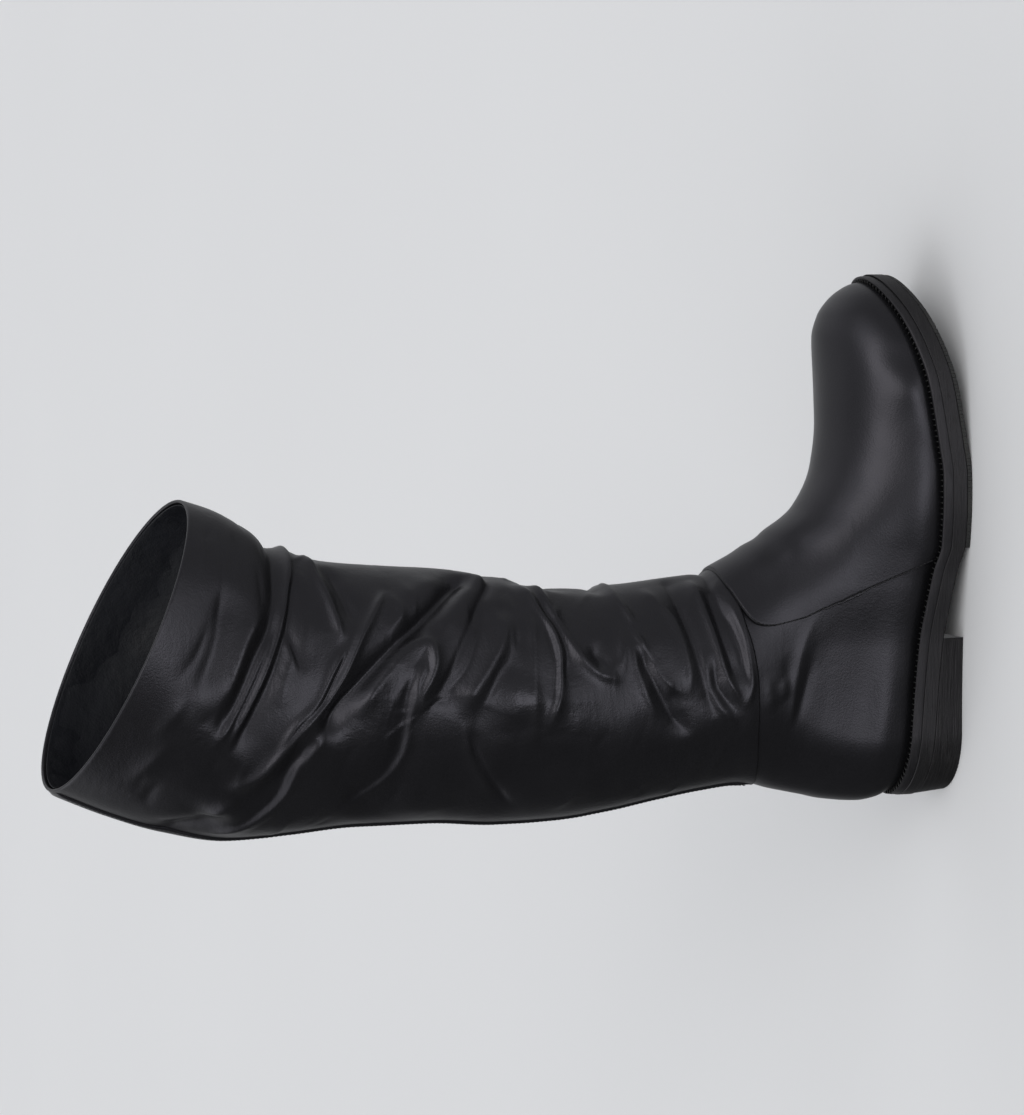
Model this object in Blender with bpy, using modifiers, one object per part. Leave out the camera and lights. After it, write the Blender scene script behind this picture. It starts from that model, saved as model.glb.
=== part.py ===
"""A tall slouched boot for the right foot, standing empty on its sole.

The scene is in metres with +Z up, the toe towards +X and the wearer's inner side towards +Y. The sizes and
tables below are in millimetres: from_heel runs forward from the back of the sole, height up from the floor.
The pieces hang on an empty that puts the middle of the heel's ground face on the origin.
"""

import bmesh
import bpy
import numpy as np

MM = 0.001
HEEL_CENTRE = 44.0      # from the back of the sole to the middle of the heel's ground face
HEEL_LENGTH = 89.5      # from the back of the sole to the heel breast
HEEL_TAPER = 2.2        # how far the heel's ground edge lies inside its top edge
TREAD_BACK = 139.0      # where the forefoot tread ends in a straight step
TREAD = 2.8             # forefoot tread, underside to top
OUTSOLE = 8.0
WELT = 5.5
INSOLE = 3.0
WALL = 2.0              # leather of the upper with its lining
OVERLAY = 1.2           # leather of the vamp and of the back strip
STRIP_WIDTH = 15.0      # back strip, from stitched edge to stitched edge
STRIP_REACH = 60.0      # how far forward the back strip is cut from the leg
BOOT_WIDTH = 180.0      # more than the boot is wide, for the guides that cut across it
BOOT_LENGTH = 320.0     # more than the boot is long
BOOT_HEIGHT = 540.0     # more than the boot is high
GAP = 0.3               # between two pieces that lie on each other
OVERLAY_GAP = 0.4       # between the upper and a curved layer over it
TUCK = 2.0              # how far the upper draws in at the sole
TUCK_HEIGHT = 4.0
WELT_GROOVE = 2.4       # from the upper's footprint to the inner edge of the welt
INSOLE_INSET = 5.2      # from the upper's footprint to the edge of the insole
EDGE_ROUND = 0.9        # rounding of the sole's edges
LAYER_STEP = 0.3        # how far the tread and the heel lie inside the outsole's edge
VAMP_CROWN = 2.4        # exponent of the vamp's cross section, 2 being an ellipse
LEG_RADIUS = 60.0       # turns a fold's angle into a length around the leg

COLUMNS = 42            # points around each section of the upper
FOOT_RINGS = 13
LEG_RINGS = 37
SOLE_STEPS = 21         # points along each side of the sole
OUTLINE_STEPS = 200     # points along each side of the footprint before it is thinned to the sole's steps
SEAM_STEPS = 40         # points along the edge of the vamp
CREST_STEPS = 1500      # points along the crest of the vamp that sections are closed on
NUDGE = 0.02            # small step in turn and row that gives the direction of the leather

# The underside of the outsole, bent from heel to toe: from_heel, rise
SOLE_RISE = [
    (-10, 19.6), (0, 19.0), (45, 16.0), (92, 12.2), (106, 10.1), (127, 6.4), (141, 2.8), (178, 2.8),
    (197, 4.9), (215, 7.3), (232, 10.0), (248, 14.0), (267, 20.0), (280, 25.5), (292, 31.0),
]

# Where the upper meets the outsole: from_heel, centre towards the inner side, half width, reach of the
# outsole beyond it, reach of the welt beyond it
FOOTPRINT = [
    (0, 0.0, 30.0, 3.5, 3.0),
    (45, 0.0, 30.5, 3.5, 3.0),
    (85, -1.0, 31.0, 3.8, 3.4),
    (120, -3.0, 33.5, 4.4, 4.0),
    (155, -2.5, 39.0, 5.2, 4.8),
    (190, 2.0, 43.5, 5.5, 5.1),
    (218, 5.0, 44.5, 5.5, 5.1),
    (250, 8.0, 45.5, 5.5, 4.9),
    (290, 10.5, 46.0, 5.5, 4.4),
]
FOOTPRINT_BACK = 4.0
FOOTPRINT_FRONT = 283.5
HEEL_ROUND = 33.0
TOE_ROUND = 64.0

# The crest of the vamp, from the climb inside the leg to the toe: from_heel, height
VAMP_CREST = [
    (20, 900), (60, 520), (90, 300), (110, 200), (128, 140), (134.5, 123.5), (146, 104), (161, 84.5),
    (184, 71.5), (209, 67), (233, 66.5), (254, 67), (266, 64), (274, 58.5), (280, 51), (283, 43.5),
    (283.5, 36),
]

# Sections of the upper, from the sole to the collar. back and front are from_heel, each with its height,
# back_round is the length of the rounding at the heel or calf, outer and inner are the leg's half widths,
# foot is the share of the foot's shape against the leg's, lean lifts the inner rim above the outer one
SECTION_COLUMNS = (
    "back", "back_height", "front", "front_height", "back_round", "outer", "inner", "foot", "lean",
)
SECTIONS = [
    (5.0, 27.3, 283.5, 36, 32, 34, 34, 1.0, 0),
    (3.4, 33, 283.0, 43.5, 33, 34, 34, 1.0, 0),
    (-0.2, 42, 280, 51, 35, 34, 34, 1.0, 0),
    (-1.2, 51, 274, 58.5, 36, 34, 34, 1.0, 0),
    (-1.0, 59, 266, 64, 37, 35, 35, 1.0, 0),
    (-0.2, 67, 254, 67, 38, 35, 35, 1.0, 0),
    (1.0, 75, 233, 66.5, 39, 36, 36, 1.0, 0),
    (3.0, 83, 209, 67, 40, 36, 36, 1.0, 0),
    (5.0, 92, 184, 71.5, 42, 37, 37, 0.95, 0),
    (7.0, 101, 161, 84.5, 44, 38, 38, 0.8, 0),
    (9.0, 109, 146, 104, 46, 39, 39, 0.5, 0),
    (10.5, 117, 134.5, 123.5, 48, 40, 40, 0.2, 0),
    (11.0, 126, 128, 140, 50, 41, 41, 0, 0),
    (9.0, 145, 124.5, 165, 52, 43, 43, 0, 0),
    (5.0, 170, 122, 188, 54, 45, 45, 0, 0),
    (0.0, 198, 121, 211, 56, 47, 47, 0, 0),
    (-3.5, 228, 124, 235, 60, 49, 49, 0, 0),
    (-4.5, 262, 129.5, 262, 64, 50, 50, 0, 0),
    (-2.0, 300, 133.5, 294, 66, 51, 51, 0, 0),
    (-2.0, 338, 136, 326, 68, 52, 52, 0, 0.5),
    (-4.5, 374, 139.5, 355, 70, 53, 53, 0, 2),
    (-6.5, 408, 149.5, 381, 74, 54, 54, 0, 3),
    (0.0, 443, 160.5, 400, 76, 56, 56, 0, 4.5),
    (10.0, 473, 168, 415, 76, 57, 57, 0, 6),
    (22.0, 501, 173, 430, 76, 58, 58, 0, 7),
]
ANKLE_SECTION = 12
VAMP_TOP_SECTION = 13.6     # the vamp's skin runs up to here before it is cut to its edge

# The main folds of the slouched leg. A fold runs from one place over a second to a third, each given by its
# turn in degrees from the front, outer side positive, and its level, the mean height of its section. lift is
# positive on a ridge and negative in a trough, and width is how far it falls away to each side
FOLDS = [
    (-50, 416, 25, 409, 95, 430, -4.5, 9),
    (-60, 396, 40, 395, 125, 430, 4.5, 9),
    (15, 374, 66, 361, 138, 412, 4.0, 9),
    (45, 338, 95, 367, 162, 404, 4.0, 8),
    (52, 324, 92, 348, 142, 376, -4.5, 9),
    (60, 322, 70, 306, 95, 322, 3.0, 8),
    (82, 316, 115, 323, 155, 352, 4.0, 8),
    (58, 262, 98, 294, 142, 264, 3.0, 9),
    (34, 249, 64, 234, 112, 253, 4.0, 8),
    (44, 226, 68, 219, 98, 230, -3.0, 8),
    (14, 246, 58, 227, 84, 200, 3.0, 8),
    (-40, 207, 5, 207, 48, 204, -3.5, 8),
    (-20, 186, 45, 188, 98, 162, 3.0, 8),
    (15, 158, 60, 157, 94, 165, 2.5, 7),
    (0, 131, 60, 125, 104, 133, 2.5, 7),
    (50, 119, 105, 116, 176, 106, -1.5, 6),
    (-20, 398, -80, 404, -155, 426, 4.5, 9),
    (-20, 383, -80, 389, -150, 410, -3.5, 8),
    (-20, 352, -90, 350, -165, 357, 5.0, 10),
    (-20, 335, -90, 333, -160, 341, -3.5, 8),
    (-40, 300, -85, 286, -140, 262, 3.5, 12),
    (-12, 227, -70, 223, -145, 206, 4.5, 9),
    (-12, 210, -70, 206, -140, 190, -3.5, 8),
    (-10, 180, -70, 172, -130, 168, 3.0, 8),
    (-10, 150, -70, 146, -125, 150, 2.5, 8),
]
FOLD_STEPS = 25         # places along a fold that a point of the leg is measured from

# Edge of the vamp seen from the side, from the front of the instep round its corner to the welt:
# from_heel, height
VAMP_EDGE = [
    (150, 149), (128, 141), (115, 136), (104, 129), (98.5, 121), (98.5, 112), (102, 100), (109, 80),
    (120, 53), (130, 26), (134, 12),
]


def glide(at, knots, values):
    """Cubic curve through the knots that never overshoots between two of them."""
    knots = np.asarray(knots, float)
    values = np.asarray(values, float)
    step = np.diff(knots)
    slope = np.diff(values) / step
    before, after = slope[:-1], slope[1:]
    same_way = before * after > 0
    total = np.where(same_way, before + after, 1.0)
    tangent = np.concatenate((slope[:1], np.where(same_way, 2 * before * after / total, 0.0), slope[-1:]))
    i = np.clip(np.searchsorted(knots, at, side="right") - 1, 0, len(step) - 1)
    t = np.clip((at - knots[i]) / step[i], 0, 1)
    start = values[i] * (1 + 2 * t) * (1 - t) ** 2 + tangent[i] * step[i] * t * (1 - t) ** 2
    return start + values[i + 1] * t ** 2 * (3 - 2 * t) - tangent[i + 1] * step[i] * t ** 2 * (1 - t)


def column(table, index):
    """One column of a table against its first column, as a smooth function."""
    rows = np.array(table, float)
    return lambda at: glide(at, rows[:, 0], rows[:, index])


def round_end(share):
    """Height of a quarter circle, 0 at its tip and 1 from its full width on."""
    return np.sqrt(np.clip(1 - np.clip(1 - share, 0, 1) ** 2, 0, 1))


sole_rise = column(SOLE_RISE, 1)
footprint_centre = column(FOOTPRINT, 1)
footprint_half = column(FOOTPRINT, 2)
outsole_reach = column(FOOTPRINT, 3)
welt_reach = column(FOOTPRINT, 4)


def sole_top(x):
    """Top of the outsole, which the upper, the welt and the insole stand on."""
    return sole_rise(x) + OUTSOLE


def vamp_crest(x):
    """Height of the vamp's crest, read from one fine run of its curve."""
    fine = np.linspace(VAMP_CREST[0][0], VAMP_CREST[-1][0], CREST_STEPS)
    return np.interp(x, fine, column(VAMP_CREST, 1)(fine))


def sections_at(row):
    """The columns of the section table at any row number, whole or between two rows."""
    rows = np.array(SECTIONS, float)
    numbers = np.arange(len(rows))
    return {name: glide(row, numbers, rows[:, i]) for i, name in enumerate(SECTION_COLUMNS)}


def smooth_upper(turn, row):
    """Outer face of the upper without its folds.

    turn goes round the section from the front over the outer side, and row up the section table. A section
    is closed at the back by a rounded end and in front by the vamp's crest or by the leg's oval. It bends
    with the sole at the foot and lies on a tilted plane at the leg.
    """
    at = sections_at(row)
    length = at["front"] - at["back"]
    x = at["back"] + length * (1 + np.cos(turn)) / 2
    front_height = at["foot"] * vamp_crest(at["front"]) + (1 - at["foot"]) * at["front_height"]
    share = (x - at["back"]) / length
    bend = sole_top(x) - sole_top(at["back"]) * (1 - share) - sole_top(at["front"]) * share
    z = at["back_height"] * (1 - share) + front_height * share + bend * at["foot"]

    above_sole = np.maximum(z - sole_top(x), 0)
    crown = np.clip(above_sole / (vamp_crest(x) - sole_top(x)), 0, 1)
    toe = round_end((FOOTPRINT_FRONT - x) / TOE_ROUND)
    foot_half = footprint_half(x) * toe * np.sqrt(1 - crown ** VAMP_CROWN)
    foot_half = np.maximum(foot_half - TUCK * toe * np.exp(-above_sole / TUCK_HEIGHT), 0)
    side = np.where(np.sin(turn) > 0, at["outer"], at["inner"])
    leg_half = side * round_end((at["front"] - x) / (length - at["back_round"]))
    half = round_end((x - at["back"]) / at["back_round"])
    half = half * (at["foot"] * foot_half + (1 - at["foot"]) * leg_half)
    y = footprint_centre(x) * at["foot"] - np.sin(turn) / np.maximum(np.abs(np.sin(turn)), 1e-9) * half
    z = z + at["lean"] * y / at["outer"]
    return np.stack((x, y, z), -1)


def bow(share, start, middle, end):
    """Parabola through a start, a middle and an end value."""
    ends = start * (1 - share) * (1 - 2 * share) + end * share * (2 * share - 1)
    return ends + middle * 4 * share * (1 - share)


def fold_relief(turn, row):
    """How far the folds lift the leather: a bell across each fold's path, fading out at both ends of it."""
    at = sections_at(row)
    level = (at["back_height"] + at["front_height"]) / 2
    share = np.linspace(0, 1, FOLD_STEPS)
    relief = np.zeros_like(level)
    for from_turn, from_level, over_turn, over_level, to_turn, to_level, lift, width in FOLDS:
        aside = np.degrees(turn)[..., None] - bow(share, from_turn, over_turn, to_turn)
        aside = np.radians((aside + 180) % 360 - 180) * LEG_RADIUS
        away = np.hypot(aside, level[..., None] - bow(share, from_level, over_level, to_level))
        fade = np.sin(np.pi * share[np.argmin(away, axis=-1)]) ** 0.6
        relief += lift * fade * np.exp(-(away.min(axis=-1) / width) ** 2)
    return relief


def upper_face(turn, row, offset=0.0):
    """The upper's outer face with its folds, at the given turns and rows, moved outwards by an offset."""
    around = smooth_upper(turn + NUDGE, row) - smooth_upper(turn - NUDGE, row)
    above = np.minimum(row + NUDGE, len(SECTIONS) - 1)
    below = np.maximum(row - NUDGE, 0)
    upwards = smooth_upper(turn, above) - smooth_upper(turn, below)
    outwards = np.cross(upwards, around)
    outwards = outwards / np.maximum(np.linalg.norm(outwards, axis=-1, keepdims=True), 1e-9)
    return smooth_upper(turn, row) + outwards * (offset + fold_relief(turn, row))[..., None]


def upper_rows(first, last):
    """Row numbers of the upper's rings between two rows of the section table."""
    foot = np.linspace(0, ANKLE_SECTION, FOOT_RINGS)
    leg = np.linspace(ANKLE_SECTION, len(SECTIONS) - 1, LEG_RINGS)
    rows = np.concatenate((foot, leg[1:]))
    return rows[(rows >= first) & (rows <= last)]


def upper_rings(rows, offset=0.0):
    """Closed rings of the upper's face, one for each row number."""
    turns = np.arange(COLUMNS) * 2 * np.pi / COLUMNS
    turn_grid, row_grid = np.meshgrid(turns, rows)
    return upper_face(turn_grid, row_grid, offset)


def material(name, colour, roughness):
    """A plain dyed finish."""
    finish = bpy.data.materials.new(name)
    finish.use_nodes = True
    shader = finish.node_tree.nodes["Principled BSDF"]
    shader.inputs["Base Color"].default_value = (*colour, 1.0)
    shader.inputs["Roughness"].default_value = roughness
    shader.inputs["Metallic"].default_value = 0.0
    return finish


def mesh_object(name, points, faces, collection, finish=None):
    """A mesh object from points in millimetres, hung on the boot's empty, with its faces turned outwards."""
    shape = bmesh.new()
    corners = [shape.verts.new(point) for point in np.asarray(points) * MM]
    for face in faces:
        shape.faces.new([corners[i] for i in dict.fromkeys(face)])
    bmesh.ops.remove_doubles(shape, verts=shape.verts, dist=0.00001)
    bmesh.ops.dissolve_degenerate(shape, edges=shape.edges, dist=0.00001)
    bmesh.ops.recalc_face_normals(shape, faces=shape.faces)
    mesh = bpy.data.meshes.new(name)
    shape.to_mesh(mesh)
    shape.free()
    if finish:
        mesh.materials.append(finish)
    piece = bpy.data.objects.new(name, mesh)
    piece.parent = boot_origin
    collection.objects.link(piece)
    return piece


def loft(name, rings, finish, closed=False):
    """Skin over rings of equal count, the last joined to the first where closed. Every quad is split the same
    way, so that two layers of leather have parallel facets.
    """
    count, around = rings.shape[:2]
    last = count if closed else count - 1
    faces = []
    for i in range(last):
        for j in range(around):
            k = (j + 1) % around
            low, high = i * around, (i + 1) % count * around
            faces.append((low + j, low + k, high + k))
            faces.append((low + j, high + k, high + j))
    return mesh_object(name, rings.reshape(-1, 3), faces, boot, finish)


def sole_sides(reach, back=-BOOT_LENGTH, front=BOOT_LENGTH):
    """Outer and inner edge of a sole layer from back to front, a reach beyond the upper's footprint."""
    u = np.linspace(0, np.pi, OUTLINE_STEPS)
    x = FOOTPRINT_BACK + (FOOTPRINT_FRONT - FOOTPRINT_BACK) * (1 - np.cos(u)) / 2
    half = footprint_half(x) * round_end((x - FOOTPRINT_BACK) / HEEL_ROUND)
    half = half * round_end((FOOTPRINT_FRONT - x) / TOE_ROUND)
    outer = np.column_stack((x, footprint_centre(x) - half))
    inner = np.column_stack((x, footprint_centre(x) + half))
    edge = np.concatenate((outer, inner[-2:0:-1]))
    along = np.roll(edge, -1, axis=0) - np.roll(edge, 1, axis=0)
    outwards = np.stack((along[:, 1], -along[:, 0]), -1) / np.linalg.norm(along, axis=1)[:, None]
    edge = edge + outwards * np.broadcast_to(reach(edge[:, 0]), len(edge))[:, None]
    heel, toe = np.argmin(edge[:, 0]), np.argmax(edge[:, 0])
    outer = np.roll(edge, -heel, axis=0)[:(toe - heel) % len(edge) + 1]
    inner = np.roll(edge, -toe, axis=0)[:(heel - toe) % len(edge) + 1][::-1]
    low, high = max(back, edge[heel, 0]), min(front, edge[toe, 0])
    sides = []
    for side in (outer, inner):
        # The points share the length along the outline, so that the round ends keep enough of them.
        run = np.concatenate(([0], np.cumsum(np.linalg.norm(np.diff(side, axis=0), axis=1))))
        first, last = np.interp((low, high), side[:, 0], run)
        spread = np.linspace(first, last, SOLE_STEPS)
        sides.append(np.stack([np.interp(spread, run, side[:, k]) for k in (0, 1)], -1))
    return sides[0], sides[1]


def plate(name, layers, finish, back=-BOOT_LENGTH, front=BOOT_LENGTH):
    """A sole layer from stacked outlines. Each layer is a reach beyond the footprint and a height, both
    functions of from_heel, and the lowest and highest are closed by cross strips from side to side.
    """
    points = []
    for reach, height in layers:
        outer, inner = sole_sides(reach, back, front)
        outline = np.concatenate((outer, inner[::-1]))
        points.append(np.column_stack((outline, height(outline[:, 0]))))
    around = 2 * SOLE_STEPS
    faces = []
    for i in range(len(layers) - 1):
        for j in range(around):
            k = (j + 1) % around
            faces.append((i * around + j, i * around + k, (i + 1) * around + k, (i + 1) * around + j))
    for base in (0, (len(layers) - 1) * around):
        for j in range(SOLE_STEPS - 1):
            faces.append((base + j, base + j + 1, base + around - 2 - j, base + around - 1 - j))
    return mesh_object(name, np.concatenate(points), faces, boot, finish)


def keep_inside(piece, name, outline, width):
    """Cut a piece to an outline seen from the side, with a flat guide that is thickened across the boot."""
    guide = mesh_object(name, [(x, 0.0, z) for x, z in outline], [tuple(range(len(outline)))], cutters)
    guide.display_type = "WIRE"
    guide.hide_render = True
    across = guide.modifiers.new("across", "SOLIDIFY")
    across.thickness = width * MM
    across.offset = 0.0
    boolean = piece.modifiers.new("cut", "BOOLEAN")
    boolean.operation = "INTERSECT"
    boolean.object = guide


def leather_shell(name, rings, thickness, side, finish):
    """An open skin with the thickness of its leather, inwards for side -1 and outwards for side 1."""
    shell = loft(name, rings, finish)
    solidify = shell.modifiers.new("leather", "SOLIDIFY")
    solidify.thickness = thickness * MM
    solidify.offset = side
    solidify.use_quality_normals = True
    return shell


def make_upper():
    """Foot and leg in one hollow wall, open at the collar and underneath."""
    upper = leather_shell("upper", upper_rings(upper_rows(0, len(SECTIONS) - 1)), WALL, -1.0, upper_leather)
    upper.data.shade_smooth()


def make_vamp():
    """Second layer over the forefoot, cut to its seam from the upper's own face."""
    rings = upper_rings(upper_rows(0, VAMP_TOP_SECTION), OVERLAY_GAP)
    vamp = leather_shell("vamp", rings, OVERLAY, 1.0, vamp_leather)
    knots = np.array(VAMP_EDGE, float)
    fine = np.linspace(0, len(knots) - 1, SEAM_STEPS)
    from_heel, height = (glide(fine, np.arange(len(knots)), knots[:, k]) for k in (0, 1))
    toe_side = [(BOOT_LENGTH, height[-1]), (BOOT_LENGTH, height[0])]
    keep_inside(vamp, "vamp_edge", list(zip(from_heel, height)) + toe_side, BOOT_WIDTH)


def make_back_strip():
    """Strip over the seam at the back of the leg, from the collar to the ankle."""
    rings = upper_rings(upper_rows(ANKLE_SECTION - 1, len(SECTIONS) - 1), OVERLAY_GAP)
    strip = leather_shell("back_strip", rings, OVERLAY, 1.0, upper_leather)
    calf = [(-STRIP_REACH, 0), (STRIP_REACH, 0), (STRIP_REACH, BOOT_HEIGHT), (-STRIP_REACH, BOOT_HEIGHT)]
    keep_inside(strip, "strip_edges", calf, STRIP_WIDTH)


def make_sole():
    """Heel, outsole, forefoot tread, welt and insole, each resting on the one below."""
    def inside(amount):
        return lambda x: outsole_reach(x) - amount

    def insole_reach(x):
        return np.full_like(x, -INSOLE_INSET)

    plate("outsole", [
        (inside(EDGE_ROUND), sole_rise),
        (inside(0), lambda x: sole_rise(x) + EDGE_ROUND),
        (inside(0), lambda x: sole_top(x) - EDGE_ROUND),
        (inside(EDGE_ROUND), sole_top),
    ], sole_rubber)
    plate("forefoot_tread", [
        (inside(LAYER_STEP + EDGE_ROUND), lambda x: sole_rise(x) - TREAD),
        (inside(LAYER_STEP), lambda x: sole_rise(x) - TREAD + EDGE_ROUND),
        (inside(LAYER_STEP), lambda x: sole_rise(x) - GAP),
    ], tread_rubber, back=TREAD_BACK)
    plate("heel", [
        (inside(HEEL_TAPER + EDGE_ROUND), np.zeros_like),
        (inside(HEEL_TAPER), lambda x: np.full_like(x, EDGE_ROUND)),
        (inside(LAYER_STEP), lambda x: sole_rise(x) - GAP),
    ], heel_stack, front=HEEL_LENGTH)
    plate("insole", [
        (insole_reach, lambda x: sole_top(x) + GAP),
        (insole_reach, lambda x: sole_top(x) + GAP + INSOLE),
    ], insole_lining)
    make_welt()


def make_welt():
    """Strip all round the upper on the outsole, with a groove left between it and the leather."""
    def ring(reach, height):
        outer, inner = sole_sides(reach)
        outline = np.concatenate((outer, inner[-2:0:-1]))
        return np.column_stack((outline, sole_top(outline[:, 0]) + height))

    def groove(x):
        return np.full_like(x, WELT_GROOVE)

    def rounded(x):
        return welt_reach(x) - EDGE_ROUND

    rings = [ring(groove, GAP), ring(welt_reach, GAP), ring(welt_reach, WELT - EDGE_ROUND),
             ring(rounded, WELT), ring(groove, WELT)]
    loft("welt", np.array(rings), welt_leather, closed=True)


for old in list(bpy.data.objects):
    bpy.data.objects.remove(old, do_unlink=True)

boot = bpy.data.collections.new("tall_boot")
cutters = bpy.data.collections.new("cutters")
bpy.context.scene.collection.children.link(boot)
bpy.context.scene.collection.children.link(cutters)
boot_origin = bpy.data.objects.new("boot_origin", None)
boot_origin.location = (-HEEL_CENTRE * MM, 0, 0)
boot.objects.link(boot_origin)

upper_leather = material("upper_leather", (0.016, 0.016, 0.018), 0.38)
vamp_leather = material("vamp_leather", (0.017, 0.017, 0.019), 0.35)
welt_leather = material("welt_leather", (0.013, 0.013, 0.013), 0.5)
sole_rubber = material("sole_rubber", (0.014, 0.014, 0.014), 0.6)
tread_rubber = material("tread_rubber", (0.015, 0.015, 0.015), 0.7)
heel_stack = material("heel_stack", (0.017, 0.016, 0.016), 0.6)
insole_lining = material("insole_lining", (0.012, 0.013, 0.018), 0.6)

make_sole()
make_upper()
make_vamp()
make_back_strip()
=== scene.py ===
"""A tall slouched leather boot for the right foot, dressed piece by piece in the order it is made.

Sizes are in millimetres until a piece is placed: from_heel runs forward from the back of the sole, y towards
the wearer's inner side, height up from the floor. The frame's origin is the middle of the heel's ground face.
"""

import bmesh
import bpy
import numpy as np
from mathutils import Matrix


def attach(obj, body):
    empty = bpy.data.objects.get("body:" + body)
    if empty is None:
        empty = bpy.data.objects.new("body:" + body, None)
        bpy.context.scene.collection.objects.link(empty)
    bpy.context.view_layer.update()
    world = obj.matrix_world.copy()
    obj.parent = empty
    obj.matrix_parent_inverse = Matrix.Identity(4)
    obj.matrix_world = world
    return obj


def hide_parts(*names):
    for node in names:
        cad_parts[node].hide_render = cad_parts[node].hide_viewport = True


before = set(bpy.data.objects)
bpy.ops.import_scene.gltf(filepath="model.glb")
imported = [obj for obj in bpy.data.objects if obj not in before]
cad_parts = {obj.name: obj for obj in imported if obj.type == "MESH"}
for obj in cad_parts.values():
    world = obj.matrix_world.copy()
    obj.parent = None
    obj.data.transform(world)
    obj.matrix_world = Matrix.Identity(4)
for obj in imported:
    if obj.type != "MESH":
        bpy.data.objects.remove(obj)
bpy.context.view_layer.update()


# Insole: the lined board that the upper is lasted round. It is 3 mm thick, covered with dark lining leather,
# and lies on the outsole at the bottom of the boot, where it shows only down the leg.

MM = 0.001
HEEL_CENTRE = 44.0
OUTSOLE = 8.0
INSOLE = 3.0
INSOLE_INSET = 5.2
LAYER_GAP = 0.3
FOOTPRINT_BACK = 4.0
FOOTPRINT_FRONT = 283.5
HEEL_ROUND = 33.0
TOE_ROUND = 64.0
EDGE_STEPS = 540
LINING_COLOUR = (0.0035, 0.004, 0.006, 1.0)

# Underside of the outsole: from_heel, rise
SOLE_RISE = [
    (-10, 19.6), (0, 19.0), (45, 16.0), (92, 12.2), (106, 10.1), (127, 6.4), (141, 2.8), (178, 2.8),
    (197, 4.9), (215, 7.3), (232, 10.0), (248, 14.0), (267, 20.0), (280, 25.5), (292, 31.0),
]

# Where the upper meets the outsole: from_heel, centre, half width, reach of the outsole and of the welt
FOOTPRINT = [
    (0, 0.0, 30.0, 3.5, 3.0), (45, 0.0, 30.5, 3.5, 3.0), (85, -1.0, 31.0, 3.8, 3.4),
    (120, -3.0, 33.5, 4.4, 4.0), (155, -2.5, 39.0, 5.2, 4.8), (190, 2.0, 43.5, 5.5, 5.1),
    (218, 5.0, 44.5, 5.5, 5.1), (250, 8.0, 45.5, 5.5, 4.9), (290, 10.5, 46.0, 5.5, 4.4),
]


def glide(at, knots, values):
    """Cubic curve through the knots, with slopes from the harmonic mean so that it never overshoots."""
    knots = np.asarray(knots, float)
    values = np.asarray(values, float)
    step = np.diff(knots)
    slope = np.diff(values) / step
    before, after = slope[:-1], slope[1:]
    same_way = before * after > 0
    total = np.where(same_way, before + after, 1.0)
    tangent = np.concatenate((slope[:1], np.where(same_way, 2 * before * after / total, 0.0), slope[-1:]))
    i = np.clip(np.searchsorted(knots, at, side="right") - 1, 0, len(step) - 1)
    t = np.clip((at - knots[i]) / step[i], 0, 1)
    start = values[i] * (1 + 2 * t) * (1 - t) ** 2 + tangent[i] * step[i] * t * (1 - t) ** 2
    return start + values[i + 1] * t ** 2 * (3 - 2 * t) - tangent[i + 1] * step[i] * t ** 2 * (1 - t)


def column(table, index):
    """One column of a table against its first column, as a smooth function."""
    rows = np.array(table, float)
    return lambda at: glide(at, rows[:, 0], rows[:, index])


def round_end(share):
    """Height of a quarter circle, 0 at its tip and 1 from its full width on."""
    return np.sqrt(np.clip(1 - np.clip(1 - share, 0, 1) ** 2, 0, 1))


def bell(away, width):
    """Bump of height 1 that falls away to both sides as the exponential of minus the square."""
    return np.exp(-(away / width) ** 2)


sole_rise = column(SOLE_RISE, 1)
footprint_centre = column(FOOTPRINT, 1)
footprint_half = column(FOOTPRINT, 2)
outsole_reach = column(FOOTPRINT, 3)
welt_reach = column(FOOTPRINT, 4)


def sole_top(x):
    """Top of the outsole, a constant thickness above its bent underside."""
    return sole_rise(x) + OUTSOLE


def unit(vectors):
    """Vectors at length 1."""
    return vectors / np.maximum(np.linalg.norm(vectors, axis=-1, keepdims=True), 1e-9)


def run_length(points):
    """Length along a line of points, 0 at the first."""
    return np.concatenate(([0], np.cumsum(np.linalg.norm(np.diff(points, axis=0), axis=1))))


def along_line(points, lengths):
    """Points at the given lengths along a line of points, straight between them."""
    run = run_length(points)
    return np.stack([np.interp(lengths, run, points[:, k]) for k in range(points.shape[1])], -1)


def footprint_loop(steps):
    """Closed outline of the footprint and its outward direction, evenly spread by length.

    The half width is the table's, times a quarter circle at the heel and one at the toe. The loop runs from
    the heel along the outer side to the toe and back along the inner side.
    """
    u = np.linspace(0, np.pi, 400)
    x = FOOTPRINT_BACK + (FOOTPRINT_FRONT - FOOTPRINT_BACK) * (1 - np.cos(u)) / 2
    half = footprint_half(x) * round_end((x - FOOTPRINT_BACK) / HEEL_ROUND)
    half = half * round_end((FOOTPRINT_FRONT - x) / TOE_ROUND)
    outer = np.column_stack((x, footprint_centre(x) - half))
    inner = np.column_stack((x, footprint_centre(x) + half))
    loop = np.concatenate((outer, inner[-2::-1]))
    edge = along_line(loop, np.linspace(0, run_length(loop)[-1], steps, endpoint=False))
    along = unit(np.roll(edge, -1, axis=0) - np.roll(edge, 1, axis=0))
    return edge, np.stack((along[:, 1], -along[:, 0]), -1)


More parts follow.
